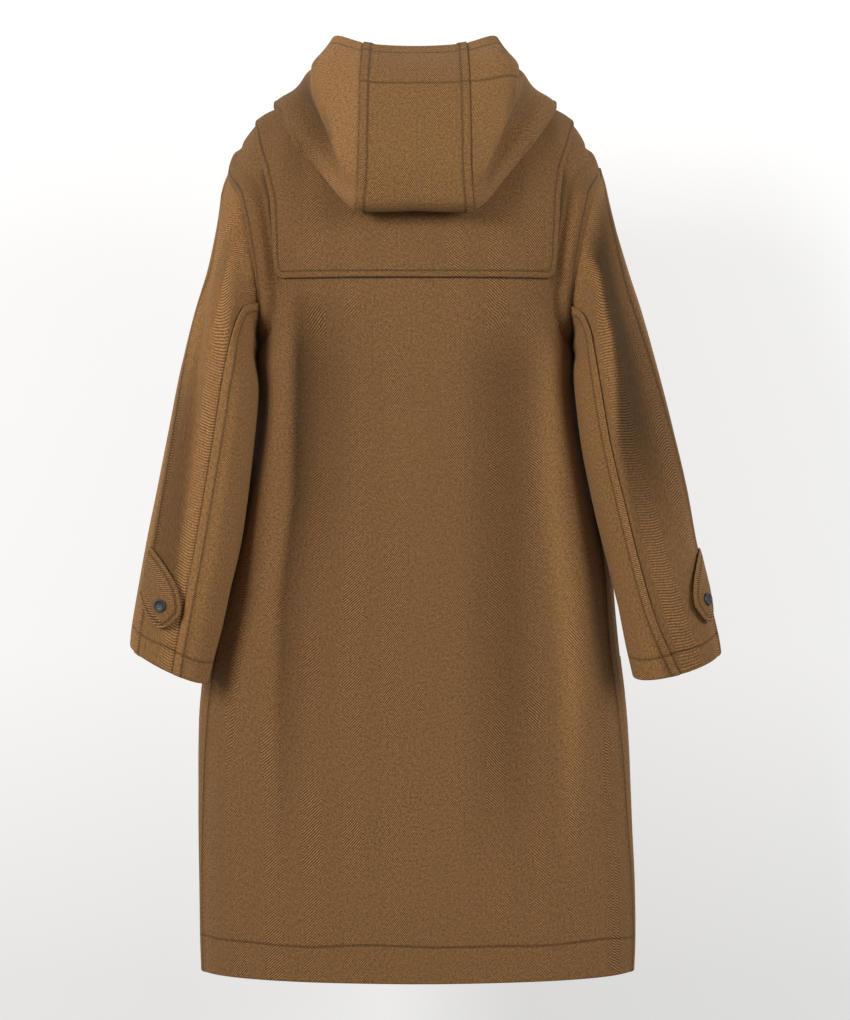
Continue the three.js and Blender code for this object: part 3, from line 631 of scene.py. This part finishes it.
# Front halves of the shoulder cape, patch pockets and their flaps: each a second layer on the front, turned in
# and topstitched along its free edges.
def front_patch(name, side, shares, rows, size, layers, node, free_sides, corner=14.0, cape=False):
    """A piece of cloth on a front, with its free edges rolled and its lower corners rounded."""
    width, height = size
    share, down = np.meshgrid(spaced(width, 5.0), spaced(height, 5.0))
    near = np.minimum(share if free_sides[0] else 1.0, (1 - share) if free_sides[1] else 1.0) * width
    away = 0 if all(free_sides) else FAR_OFF
    near = np.where(near > width * 0.5, np.minimum(share, 1 - share) * width + away, near)
    end = (1 - down) * height
    new_near, new_end, edge = rounded_corner(near, end, corner)
    at_start = share < 0.5
    moved = np.where(at_start, new_near, width - new_near) / width
    share = np.where((free_sides[0] & at_start) | (free_sides[1] & ~at_start), moved, share)
    down = 1 - new_end / height
    row = rows[0] + (rows[1] - rows[0]) * down
    drawn_in = -edge_angle("cape_edge", row) * smooth_rise(row, 3.0, 4.3) * (1 - share) if cape else 0.0
    points, lift = front_grid(side, shares[0] + (shares[1] - shares[0]) * share, row, drawn_in)
    offset = lift + layers * (CLOTH + SEAM_GAP) + 0.5 * hump(edge, 5.0, 3.0) - rolled(edge)
    return cloth_piece(
        name, points, offset, side, [node], stitch_down=edge - EDGE_STITCH,
    )


for side_name, side in (("left", 1), ("right", -1)):
    front_patch(f"cloth_yoke_front_{side_name}", side, (0.0, 0.667), (0.0, 6.0), (190.0, 160.0), 1,
                f"yoke_front_{side_name}", (False, True), cape=True)
    front_patch(f"cloth_pocket_{side_name}", side, (0.25, 0.667), (20.0, 24.0), (170.0, 210.0), 1,
                f"pocket_{side_name}", (True, True))
    front_patch(f"cloth_flap_{side_name}", side, (0.25, 0.667), (20.0, 21.0), (170.0, 55.0), 2,
                f"pocket_flap_{side_name}", (True, True), corner=10.0)


# Sleeves: two-piece, set into the armholes. The outer panel laps over the under panel along the overarm seam,
# the under panel laps over it along the back seam, and the cuffs are turned up 26 mm and stitched.
sleeve_names = [
    "outer_x", "outer_z", "inner_x", "inner_z", "mid_y", "half_depth", "back_drop", "overarm", "back_seam",
]
sleeve_rows = {
    1: table(sleeve_names, [
        [229, -80, 190, -290, 8, 50, 0, 0, 127],
        [239, -115, 193, -297, 10, 56, 0, 4, 120],
        [246, -160, 195, -306, 14, 62, 0, 8, 112],
        [256, -212, 197, -317, 20, 68, 0, 11, 106],
        [271, -265, 195, -332, 32, 68, 0, 16, 102],
        [288, -333, 192, -362, 42, 65, 0, 23, 99],
        [301, -403, 198, -430, 51, 64, 0, 28, 98],
        [315, -478, 206, -502, 58, 63, 0, 31, 97],
        [327, -540, 215, -563, 64, 61, 1, 33, 97],
        [339, -610, 232, -638, 71, 54, 3, 34, 98],
        [345, -648, 244, -684, 74, 49, 5, 34, 99],
        [347, -671, 252, -716, 75, 46, 6, 34, 100],
    ]),
    -1: table(sleeve_names, [
        [229, -80, 190, -290, 8, 50, 0, 0, 127],
        [237, -115, 193, -297, 10, 56, 0, 10, 124],
        [249, -160, 195, -306, 14, 62, 0, 19, 121],
        [264, -212, 197, -317, 20, 68, 0, 26, 119],
        [280, -265, 195, -332, 32, 68, 0, 27, 118],
        [298, -333, 196, -362, 42, 65, 0, 23, 117],
        [315, -403, 204, -430, 51, 64, 0, 19, 116],
        [331, -478, 218, -502, 58, 63, 0, 14, 114],
        [342, -545, 233, -566, 64, 61, 1, 9, 112],
        [357, -612, 249, -638, 71, 54, 3, 6, 107],
        [367, -655, 259, -683, 74, 49, 7, 4, 97],
        [371, -679, 265, -709, 75, 46, 10, 4, 89],
    ]),
}
SLEEVE_LAST_ROW = 11
CUFF_TURN = 26.0
# Where each sleeve's long soft creases run: the angle round the sleeve at some of its rings, how wide and deep
sleeve_creases = {
    1: [
        ([1, 3, 4, 5, 6, 7, 8, 9, 10], [10, 26, 47, 57, 71, 78, 83, 92, 95], 9, -5.0, 1.0, 10.6),
        ([1, 5, 9], [60, 118, 122], 12, 2.2, 2.5, 9.5),
        ([2, 6, 10], [330, 322, 318], 16, -4.0, 1.5, 10.0),
        ([4, 6, 8], [196, 214, 238], 9, -3.5, 4.2, 8.0),
        ([6, 8, 10], [150, 176, 206], 10, -2.5, 6.4, 9.8),
    ],
    -1: [
        ([1, 2, 3, 4, 5, 6, 8], [80, 84, 90, 90, 96, 107, 112], 9, 4.5, 0.6, 7.0),
        ([1, 3, 5, 7, 9], [52, 57, 60, 68, 72], 23, -9.0, 0.6, 8.5),
        ([2, 6, 10], [330, 320, 316], 16, -4.0, 1.5, 10.0),
        ([4, 6, 8], [200, 216, 236], 9, -3.5, 4.2, 8.0),
        ([6, 8, 10], [148, 172, 200], 10, -2.5, 6.4, 9.8),
    ],
}


def armhole_point(turn):
    row = SHOULDER_ROW + (1 - np.cos(turn)) / 2 * (UNDERARM_ROW - SHOULDER_ROW)
    behind, before = edge_angle("back_edge", row), edge_angle("front_edge", row)
    return body_point(np.where(np.sin(turn) >= 0, behind, before), row), row


def sleeve_point(side, turn, row):
    """A point of a sleeve: turn runs from its outer end over the back, and row from the armhole to the cuff."""
    def ring(place):
        at = {name: read(sleeve_rows[side], name, place) for name in sleeve_names[:7]}
        cosine, sine = np.cos(turn), np.sin(turn)
        x = (at["outer_x"] + at["inner_x"]) / 2 + (at["outer_x"] - at["inner_x"]) / 2 * cosine
        z = (at["outer_z"] + at["inner_z"]) / 2 + (at["outer_z"] - at["inner_z"]) / 2 * cosine
        z = z - at["back_drop"] * sine
        return np.stack([side * x, at["mid_y"] + at["half_depth"] * sine, z], axis=-1)

    share = (1 - smooth_rise(row, 0, 2))[..., None]
    edge, _ = armhole_point(turn)
    edge = edge * np.array([side, 1, 1])
    points = ring(row) + (edge - ring(np.zeros_like(row))) * share
    points[..., 0] += side * 2 * SEAM_GAP * share[..., 0]
    return points


def sleeve_offset(side, turn, row):
    """How far a sleeve's cloth stands off: it starts level with the armhole's ridge, and then it creases."""
    _, body_row = armhole_point(turn)
    strength = smooth_rise(body_row, 6.0, 7.0) * (1 - smooth_rise(body_row, 11.0, 12.6))
    near_armhole = (1 - smooth_rise(body_row, 11.0, 12.0)) * (1 - smooth_rise(row, 0, 1.5))
    offset = 4.2 * (0.35 + 0.65 * strength) * near_armhole
    degrees = np.degrees(turn) % 360
    for rings, angles, spread, depth, first, last in sleeve_creases[side]:
        along = np.clip((row - first) / (last - first), 0, 1)
        away = (degrees - np.interp(row, rings, angles) + 180) % 360 - 180
        offset = offset + depth * hump(away, 0, spread) * np.sin(np.pi * along) ** 0.7
    return offset


def sleeve_painted_shade(side, turn, row):
    """How much painted shade darkens each sleeve between its long crease and its overarm seam."""
    rings, angles = sleeve_creases[side][0][:2]
    overarm = read(sleeve_rows[side], "overarm", row)
    crease = np.interp(row, rings, angles)
    share = (np.degrees(turn) % 360 - overarm) / np.maximum(crease - overarm, 12)
    if side > 0:
        band = smooth_rise(share, -0.1, 0.2) * (1 - smooth_rise(share, 0.75, 1.1))
        return 0.46 * band * smooth_rise(row, 4.2, 6.2) * (1 - 0.8 * smooth_rise(row, 8.4, 9.6))
    band = (0.45 + 0.55 * smooth_rise(share, 0, 0.7)) * smooth_rise(share, -0.1, 0.05)
    band = band * (1 - smooth_rise(share, 0.92, 1.06))
    return band * (0.72 * smooth_rise(row, 0.4, 1.6) - 0.48 * smooth_rise(row, 5.5, 8.5))


for side_name, side in (("left", 1), ("right", -1)):
    for panel, width in (("outer", 100.0), ("under", 260.0)):
        share, row = np.meshgrid(spaced(width, 4.2), spaced(615, 5.0) * SLEEVE_LAST_ROW)
        gap = SEAM_GAP / 2 / 52
        overarm = np.radians(read(sleeve_rows[side], "overarm", row))
        back_seam = np.radians(read(sleeve_rows[side], "back_seam", row))
        if panel == "outer":
            start, end = overarm + gap, back_seam - gap
        else:
            start, end = back_seam + gap, overarm + 2 * np.pi - gap
        turn = start + (end - start) * share
        far_edge = np.maximum(1 - (1 - share) * width / 8, 0)
        tucked = far_edge * smooth_rise(row, 0.3, 1.3)
        turn = turn + 0.11 * tucked
        points = sleeve_point(side, turn, row)
        seam_distance = distance_to(points, points[:, 0])
        cuff_distance = distance_to(points, points[-1])
        offset = sleeve_offset(side, turn, row) + seam_lap(seam_distance) * smooth_rise(row, 0.0, 0.8)
        offset = offset - 1.8 * far_edge - 1.4 * tucked - rolled(seam_distance) - rolled(cuff_distance, 2.2)
        # Each sleeve carries painted shade, and a painted brightness set higher on the left sleeve than on the
        # right.
        cloth_piece(
            f"cloth_sleeve_{side_name}_{panel}", points, offset, -side, [f"sleeve_{side_name}_{panel}"],
            stitch_down=seam_distance - SEAM_STITCH,
            stitch_across=cuff_distance - CUFF_TURN - 0.8 * np.sin(turn * 5),
            nap_shade=sleeve_painted_shade(side, turn, row), painted_brightness=1.30 if side > 0 else 1.20, weave=0.85,
        )


# Cuff tabs: a pointed strap of two layers of the wool, set into the overarm seam and stitched all round, held
# by one button.
tab_rows = table(
    ["upper_angle", "upper_ring", "lower_angle", "lower_ring", "stand_off"],
    [
        [3, 8.1, 1, 8.95, 0.4],
        [23, 8.28, 12, 9.2, 1.4],
        [41, 8.55, 25, 9.42, 3.0],
        [50, 8.82, 36, 9.5, 4.6],
        [52, 9.05, 45, 9.32, 5.4],
    ],
)
TAB_THICK = 4.0
TAB_CLOSE = (0.4, 0.9, 1.6, 2.6)
for side_name, side in (("left", 1), ("right", -1)):
    across, along = np.meshgrid(spaced(40, 1.6, TAB_CLOSE), spaced(60, 1.6, TAB_CLOSE) * 4)
    ring = read(tab_rows, "upper_ring", along) * (1 - across) + read(tab_rows, "lower_ring", along) * across
    past = read(tab_rows, "upper_angle", along) * (1 - across) + read(tab_rows, "lower_angle", along) * across
    past = past * (1.18 if side > 0 else 1.0)
    turn = np.radians(read(sleeve_rows[side], "overarm", ring) + past)
    points = sleeve_point(side, turn, ring)
    border = np.concatenate([points[:, 0], points[-1], points[::-1, -1]])
    edge = distance_to(points, border)
    offset = sleeve_offset(side, turn, ring) + read(tab_rows, "stand_off", along) + TAB_THICK
    offset = offset + 0.8 * (1 - hump(edge, 0, 6)) - rolled(edge, 1.8)
    cloth_piece(
        f"cloth_tab_{side_name}", points, offset, side, [f"cuff_tab_{side_name}"],
        stitch_down=edge - 5.5, thickness=TAB_THICK,
    )


# Buttons: one dark resin button on each cuff tab, with a rim and a dished face, sewn on with two strands of
# thread.
def sleeve_place(side, turn, ring):
    """A point of a sleeve and its outward direction, in millimetres."""
    steps = np.array([-0.01, 0.0, 0.01])
    turns, rings = np.meshgrid(turn + steps, ring + steps)
    around = sleeve_point(side, turns, rings)
    return around[1, 1], outward_of(around, -side)[1, 1]


resin, tree = new_material("button_resin")
position = add_node(tree, "ShaderNodeTexCoord").outputs["Object"]
grain = add_node(tree, "ShaderNodeTexNoise", Vector=position, Scale=160.0, Detail=4.0)
tint = add_node(tree, "ShaderNodeValToRGB", Fac=grain.outputs[0])
tint.color_ramp.elements[0].color = (0.008, 0.009, 0.011, 1)
tint.color_ramp.elements[1].color = (0.026, 0.028, 0.033, 1)
gloss = add_node(tree, "ShaderNodeMapRange", Value=grain.outputs[0], To_Min=0.38, To_Max=0.55)
face = add_node(tree, "ShaderNodeBsdfPrincipled", Base_Color=tint.outputs[0], Roughness=gloss.outputs[0])
add_node(tree, "ShaderNodeOutputMaterial", Surface=face.outputs[0])
thread_material, tree = new_material("button_thread")
position = add_node(tree, "ShaderNodeTexCoord").outputs["Object"]
twist = add_node(tree, "ShaderNodeTexNoise", Vector=position, Scale=1500.0)
tint = add_node(tree, "ShaderNodeValToRGB", Fac=twist.outputs[0])
tint.color_ramp.elements[0].color = (0.020, 0.013, 0.008, 1)
tint.color_ramp.elements[1].color = (0.060, 0.040, 0.024, 1)
strand = add_node(tree, "ShaderNodeBsdfPrincipled", Base_Color=tint.outputs[0], Roughness=0.8)
add_node(tree, "ShaderNodeOutputMaterial", Surface=strand.outputs[0])

BUTTON_PROFILE = [
    (0.0, 0.0), (5.5, 0.0), (7.2, 0.2), (7.9, 0.9), (8.0, 1.6), (7.8, 2.4),
    (7.2, 2.9), (6.4, 3.0), (5.6, 2.7), (5.0, 2.2), (3.5, 1.9), (0.0, 1.8),
]
BUTTON_RING = 8.98
BUTTON_LIFT = 7.6
for side_name, side in (("left", 1), ("right", -1)):
    shape = bmesh.new()
    profile = [shape.verts.new((radius, 0, height)) for radius, height in BUTTON_PROFILE]
    edges = [shape.edges.new(pair) for pair in zip(profile[:-1], profile[1:])]
    bmesh.ops.spin(
        shape, geom=profile + edges, cent=(0, 0, 0), axis=(0, 0, 1), angle=2 * math.pi,
        steps=40, use_merge=True,
    )
    bmesh.ops.remove_doubles(shape, verts=shape.verts, dist=0.001)
    bmesh.ops.recalc_face_normals(shape, faces=shape.faces)
    button_faces = len(shape.faces)
    for y in (1.5, -1.5):
        before = set(shape.verts)
        bmesh.ops.create_uvsphere(shape, u_segments=16, v_segments=8, radius=1.0)
        stitch = [vertex for vertex in shape.verts if vertex not in before]
        bmesh.ops.scale(shape, vec=(2.6, 0.55, 0.5), verts=stitch)
        bmesh.ops.translate(shape, vec=(0, y, 2.05), verts=stitch)
    for number, each in enumerate(shape.faces):
        each.material_index = 0 if number < button_faces else 1
        each.smooth = True
    past_seam = 37 if side > 0 else 30
    turn = math.radians(float(read(sleeve_rows[side], "overarm", BUTTON_RING)) + past_seam)
    place, out = sleeve_place(side, turn, BUTTON_RING)
    up = np.array([0.0, 0.0, 1.0]) - out * out[2]
    up = up / np.linalg.norm(up)
    beside = np.cross(up, out)
    for vertex in shape.verts:
        x, y, z = vertex.co
        vertex.co = (place + beside * x + up * y + out * (z + BUTTON_LIFT)) / 1000
    mesh = bpy.data.meshes.new(f"button_{side_name}")
    shape.to_mesh(mesh)
    shape.free()
    mesh.materials.append(resin)
    mesh.materials.append(thread_material)
    button = bpy.data.objects.new(f"button_{side_name}", mesh)
    scene.collection.objects.link(button)
    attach(button, "root")
    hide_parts(f"cuff_button_{side_name}")


# Hood: three panels, laid down on the back. It turns out at the neck seam, lies over the shoulders, folds back
# on itself and stands up to its rim. The middle panel laps over both side panels with a stitched seam.
neck_angles = table(["angle"], [[90], [60], [48], [34], [18], [0], [-28], [-56], [-74]])
hood_lines = [
    [
        [0, 88, 15], [49, 77, 17], [66, 66, 19], [82, 52, 22], [94, 34, 26],
        [102, 2, 27], [92, -53, 7], [60, -92, -30], [29, -105, -48],
    ],
    [
        [0, 108, -14], [52, 102, -12], [71, 92, -8], [90, 74, 2], [106, 52, 12],
        [122, 8, 19], [108, -55, 8], [68, -98, -26], [31, -108, -42],
    ],
    [
        [0, 116, -88], [58, 110, -86], [78, 103, -78], [102, 92, -52], [122, 76, -26],
        [144, 18, 6], [122, -54, 2], [73, -102, -22], [33, -110, -38],
    ],
    [
        [0, 138, -149], [64, 136, -149], [82, 126, -139], [114, 106, -99], [145, 84, -58],
        [172, 22, -8], [133, -50, 0], [76, -104, -18], [34, -111, -34],
    ],
    [
        [0, 156, -142], [65, 153, -142], [80, 144, -136], [106, 124, -92], [135, 98, -46],
        [163, 32, 6], [133, -48, 12], [77, -103, -13], [34, -111, -30],
    ],
    [
        [0, 162, -118], [63, 159, -118], [80, 147, -122], [98, 126, -78], [117, 104, -32],
        [147, 40, 19], [127, -46, 19], [76, -101, -8], [34, -110, -26],
    ],
    [
        [0, 163, -84], [62, 160, -84], [86, 155, -104], [103, 147, -62], [120, 124, -23],
        [136, 52, 34], [120, -46, 25], [74, -98, -4], [33, -108, -22],
    ],
    [
        [0, 154, -36], [61, 150, -36], [100, 140, -42], [117, 124, -14], [127, 96, 8],
        [124, 38, 43], [113, -46, 30], [70, -94, 0], [32, -106, -19],
    ],
    [
        [0, 128, 20], [60, 124, 22], [109, 108, 30], [125, 82, 34], [124, 56, 40],
        [118, 16, 46], [105, -45, 33], [65, -90, 2], [30, -104, -17],
    ],
    [
        [0, 92, 57], [58, 88, 61], [97, 66, 74], [105, 42, 66], [115, 14, 55],
        [111, -14, 43], [97, -43, 34], [59, -86, 3], [28, -102, -16],
    ],
]
HOOD_STATIONS = 8
HOOD_STEPS = len(hood_lines)
HOOD_CLEARANCE = 6.5
RIM_STITCH = 17.0
RIM_ROLL = 2.6
FACING_STITCH = 70.0
BETWEEN_STITCHES = 43.0


def centripetal(points, place):
    """A smooth curve through points [..., number, 3], read at places from 0 to 1 along it."""
    last = points.shape[-2] - 1
    ends = (2 * points[..., :1, :] - points[..., 1:2, :], 2 * points[..., -1:, :] - points[..., -2:-1, :])
    points = np.concatenate([ends[0], points, ends[1]], axis=-2)
    place = np.clip(place, 0, 1) * last
    first = np.clip(np.floor(place).astype(int), 0, last - 1)
    share = (place - first)[..., None]
    points = np.broadcast_to(points, (*place.shape, *points.shape[-2:]))
    p0, p1, p2, p3 = (
        np.take_along_axis(points, (first + step)[..., None, None], axis=-2)[..., 0, :] for step in range(4)
    )
    d0, d1, d2 = (
        np.maximum(np.sum((later - earlier) ** 2, axis=-1, keepdims=True) ** 0.25, 1e-4)
        for earlier, later in ((p0, p1), (p1, p2), (p2, p3))
    )
    start = ((p1 - p0) / d0 - (p2 - p0) / (d0 + d1) + (p2 - p1) / d1) * d1
    end = ((p2 - p1) / d1 - (p3 - p1) / (d1 + d2) + (p3 - p2) / d2) * d1
    return smooth_between(share, p1, p2, start, end)


def body_outward(angle, row):
    step = 1e-3
    across = body_point(angle + step, row) - body_point(angle - step, row)
    along = body_point(angle, row + step) - body_point(angle, row - step)
    return unit(-np.cross(across, along))


def average_around(grid):
    """The mean of the four neighbours of each inner point of a grid."""
    return (grid[:-2, 1:-1] + grid[2:, 1:-1] + grid[1:-1, :-2] + grid[1:-1, 2:]) / 4


def rest_on_shoulders(points, clearance):
    """Keeps the hood's under layer clear of the shoulders and of the cape that lies on them."""
    def ring_place(row):
        mid_y = read(body_rows, "mid_y", row)
        back_depth = read(body_rows, "back_y", row) - mid_y
        front_depth = mid_y - read(body_rows, "front_y", row)
        depth = np.where(points[..., 1] >= mid_y, back_depth, front_depth)
        return points[..., 0] / read(body_rows, "half_width", row), (points[..., 1] - mid_y) / depth

    low = np.zeros(points.shape[:-1])
    high = np.full(points.shape[:-1], 8.0)
    over = (np.hypot(*ring_place(low)) >= 1) & (np.hypot(*ring_place(high)) <= 1)
    for _ in range(24):
        middle = (low + high) / 2
        outside = np.hypot(*ring_place(middle)) > 1
        low, high = np.where(outside, middle, low), np.where(outside, high, middle)
    x, y = ring_place(low)
    angle = np.arctan2(y, x)
    out = body_outward(angle, low)
    distance = np.sum((points - body_point(angle, low)) * out, axis=-1)
    needed = np.where(over, np.maximum(clearance - distance, 0), 0)[..., None]
    push = needed * out
    if push.ndim == 3 and min(push.shape[:2]) > 2:
        for _ in range(60):
            push[1:-1, 1:-1] = average_around(push)
            push = np.where(np.linalg.norm(push, axis=-1, keepdims=True) < needed, needed * out, push)
    return points + push


def hood_point(station, step):
    """A point of the hood: station runs from the right front end over the back, and step from neck to rim."""
    share = np.clip((station + HOOD_STATIONS) / (2 * HOOD_STATIONS), 0, 1)
    from_back = np.radians(read(neck_angles, "angle", np.abs(station)))
    seam = body_point(from_back, np.zeros_like(from_back))
    lapped = (station > 0) & (seam[..., 1] < 0)
    shift = body_outward(from_back, np.zeros_like(from_back))
    shift = shift * np.where(lapped, (CLOTH + OVERLAP_GAP) * front_lap(seam[..., 0]), 0)[..., None]
    seam[..., 0] *= np.where(station < 0, -1, 1)
    seam[..., 2] += 1.2
    lines = [seam]
    for stations in hood_lines:
        half = np.array(stations, float)
        whole = np.concatenate([half[:0:-1] * np.array([-1, 1, 1]), half])
        lines.append(centripetal(whole, share))
    lines = np.stack(lines, axis=-2)
    weights = np.maximum(1 - np.arange(HOOD_STEPS + 1) / 6, 0)
    lines = lines + shift[..., None, :] * weights[:, None]
    points = centripetal(lines, step / HOOD_STEPS)
    under = smooth_rise(step, 0.4, 1.4) * (1 - smooth_rise(step, 6, 7))
    return np.where((under > 0)[..., None], rest_on_shoulders(points, (CLOTH + HOOD_CLEARANCE) * under), points)


def rim_and_facing(distance):
    """The distance to the nearer of the two lines of stitching that run along the rim."""
    return np.where(distance < BETWEEN_STITCHES, distance - RIM_STITCH, FACING_STITCH - distance)


def hood_lap(step):
    """How many stations the middle panel's lap of 5 mm covers, at each step."""
    near = hood_point(np.full(step.shape, 1.0), step)
    far = hood_point(np.full(step.shape, 1.2), step)
    return 5.0 * 0.2 / np.maximum(np.linalg.norm(far - near, axis=-1), 1.0)


hood_steps = spaced(560, 4.6) * HOOD_STEPS
seam_lines = {side: hood_point(np.full(hood_steps.shape, float(side)), hood_steps) for side in (1, -1)}
share, step = np.meshgrid(spaced(128, 3.6), hood_steps)
station = (share * 2 - 1) * (1 + hood_lap(step))
points = hood_point(station, step)
edge_distance = np.minimum(distance_to(points, points[:, 0]), distance_to(points, points[:, -1]))
rim_distance = distance_to(points, points[-1])
offset = seam_lap(edge_distance) - rolled(edge_distance) - rolled(rim_distance, RIM_ROLL)
# The middle panel's brightness is set a little high, as painted light.
cloth_piece(
    "cloth_hood_centre", points, offset, -1, ["hood_centre"], painted_brightness=1.06, weave=1.3,
    stitch_down=edge_distance - SEAM_STITCH, stitch_across=rim_and_facing(rim_distance),
)
for side_name, side in (("left", 1), ("right", -1)):
    share, step = np.meshgrid(spaced(330, 4.4), hood_steps)
    station = 1.01 + (HOOD_STATIONS - 1.01) * share
    station = station if side > 0 else -station[:, ::-1]
    points = hood_point(station, step)
    from_back = np.abs(station)
    eased = smooth_rise(from_back, 1.3, 2.2) * (1 - smooth_rise(from_back, 5.5, 6.5))
    eased = (eased * smooth_rise(step, 4.5, 5.5) * (1 - smooth_rise(step, 8.0, 9.0)))[1:-1, 1:-1, None]
    for _ in range(40):
        points[1:-1, 1:-1] += 0.6 * eased * (average_around(points) - points[1:-1, 1:-1])
    seam_distance = distance_to(points, seam_lines[side])
    rim_distance = distance_to(points, points[-1])
    tucked = -1.5 * (1 - smooth_rise(seam_distance, 4.0, 7.5))
    rim_only = (side > 0) | (from_back > 4.2)
    stitches = np.where(rim_only, rim_distance - RIM_STITCH, rim_and_facing(rim_distance))
    # Painted shade on the left wing and, faintly, the right one, and in a band beside the fold; the left side
    # panel's brightness is set higher than the right's, as painted light.
    beside_fold = smooth_rise(from_back, 1.8, 2.8) * (1 - smooth_rise(from_back, 4.4, 5.4))
    trough = -3.0 * hump(step, 6.0, 0.9) * beside_fold
    wing = smooth_rise(from_back, 2.6, 3.8) * smooth_rise(step, 2.0, 3.5) * (1 - smooth_rise(step, 7.0, 7.9))
    wing_painted_shade = (0.36 if side > 0 else 0.03) * wing + 0.30 * hump(step, 6.3, 0.8) * beside_fold
    offset = tucked + trough - rolled(rim_distance, RIM_ROLL)
    cloth_piece(
        f"cloth_hood_side_{side_name}", points, offset, -1, [f"hood_side_{side_name}"],
        stitch_across=stitches, nap_shade=wing_painted_shade, painted_brightness=1.38 if side > 0 else 1.14,
    )


# Fastening on the front, out of the photo's sight: horn toggles on leather ties, leather loops, and patches of
# grained leather that hold their ends.
def leather(name, dark, light, grain_size, relief):
    made, tree = new_material(name)
    position = add_node(tree, "ShaderNodeTexCoord").outputs["Object"]
    pores = add_node(tree, "ShaderNodeTexVoronoi", Vector=position, Scale=grain_size)
    cloud = add_node(tree, "ShaderNodeTexNoise", Vector=position, Scale=45.0, Detail=4.0)
    tint = add_node(tree, "ShaderNodeMix", {"data_type": "RGBA"}, in0=cloud.outputs[0])
    tint.inputs[6].default_value = (*dark, 1)
    tint.inputs[7].default_value = (*light, 1)
    bump = add_node(tree, "ShaderNodeBump", Height=pores.outputs[0], Strength=relief, Distance=0.0004)
    hide = add_node(
        tree, "ShaderNodeBsdfPrincipled", Base_Color=tint.outputs[2], Roughness=0.48, Normal=bump.outputs[0],
    )
    add_node(tree, "ShaderNodeOutputMaterial", Surface=hide.outputs[0])
    return made


cord_leather = leather("cord_leather", (0.014, 0.009, 0.006), (0.040, 0.024, 0.014), 900.0, 0.4)
patch_leather = leather("patch_leather", (0.022, 0.013, 0.008), (0.060, 0.034, 0.019), 700.0, 0.7)
horn, tree = new_material("toggle_horn")
position = add_node(tree, "ShaderNodeTexCoord").outputs["Object"]
stretched = add_node(tree, "ShaderNodeMapping", Vector=position, Scale=(8, 60, 60))
bands = add_node(tree, "ShaderNodeTexNoise", Vector=stretched.outputs[0], Scale=3.0, Detail=5.0, Distortion=0.6)
tint = add_node(tree, "ShaderNodeValToRGB", Fac=bands.outputs[0])
tint.color_ramp.elements[0].position = 0.35
tint.color_ramp.elements[0].color = (0.020, 0.010, 0.005, 1)
tint.color_ramp.elements[1].position = 0.70
tint.color_ramp.elements[1].color = (0.130, 0.070, 0.030, 1)
polish = add_node(tree, "ShaderNodeBsdfPrincipled", Base_Color=tint.outputs[0], Roughness=0.28)
add_node(tree, "ShaderNodeOutputMaterial", Surface=polish.outputs[0])

for number in range(1, 5):
    finishes = {f"toggle_{number}": horn, f"loop_{number}": cord_leather, f"tie_{number}": cord_leather}
    finishes.update({f"patch_{side}_{number}": patch_leather for side in ("left", "right")})
    for node_name, finish in finishes.items():
        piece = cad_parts[node_name]
        piece.data.materials.clear()
        piece.data.materials.append(finish)
        weld = piece.modifiers.new("joined faces", "WELD")
        weld.merge_threshold = 0.00005
        if not node_name.startswith("patch"):
            rounder = piece.modifiers.new("rounder", "SUBSURF")
            rounder.levels = rounder.render_levels = 1
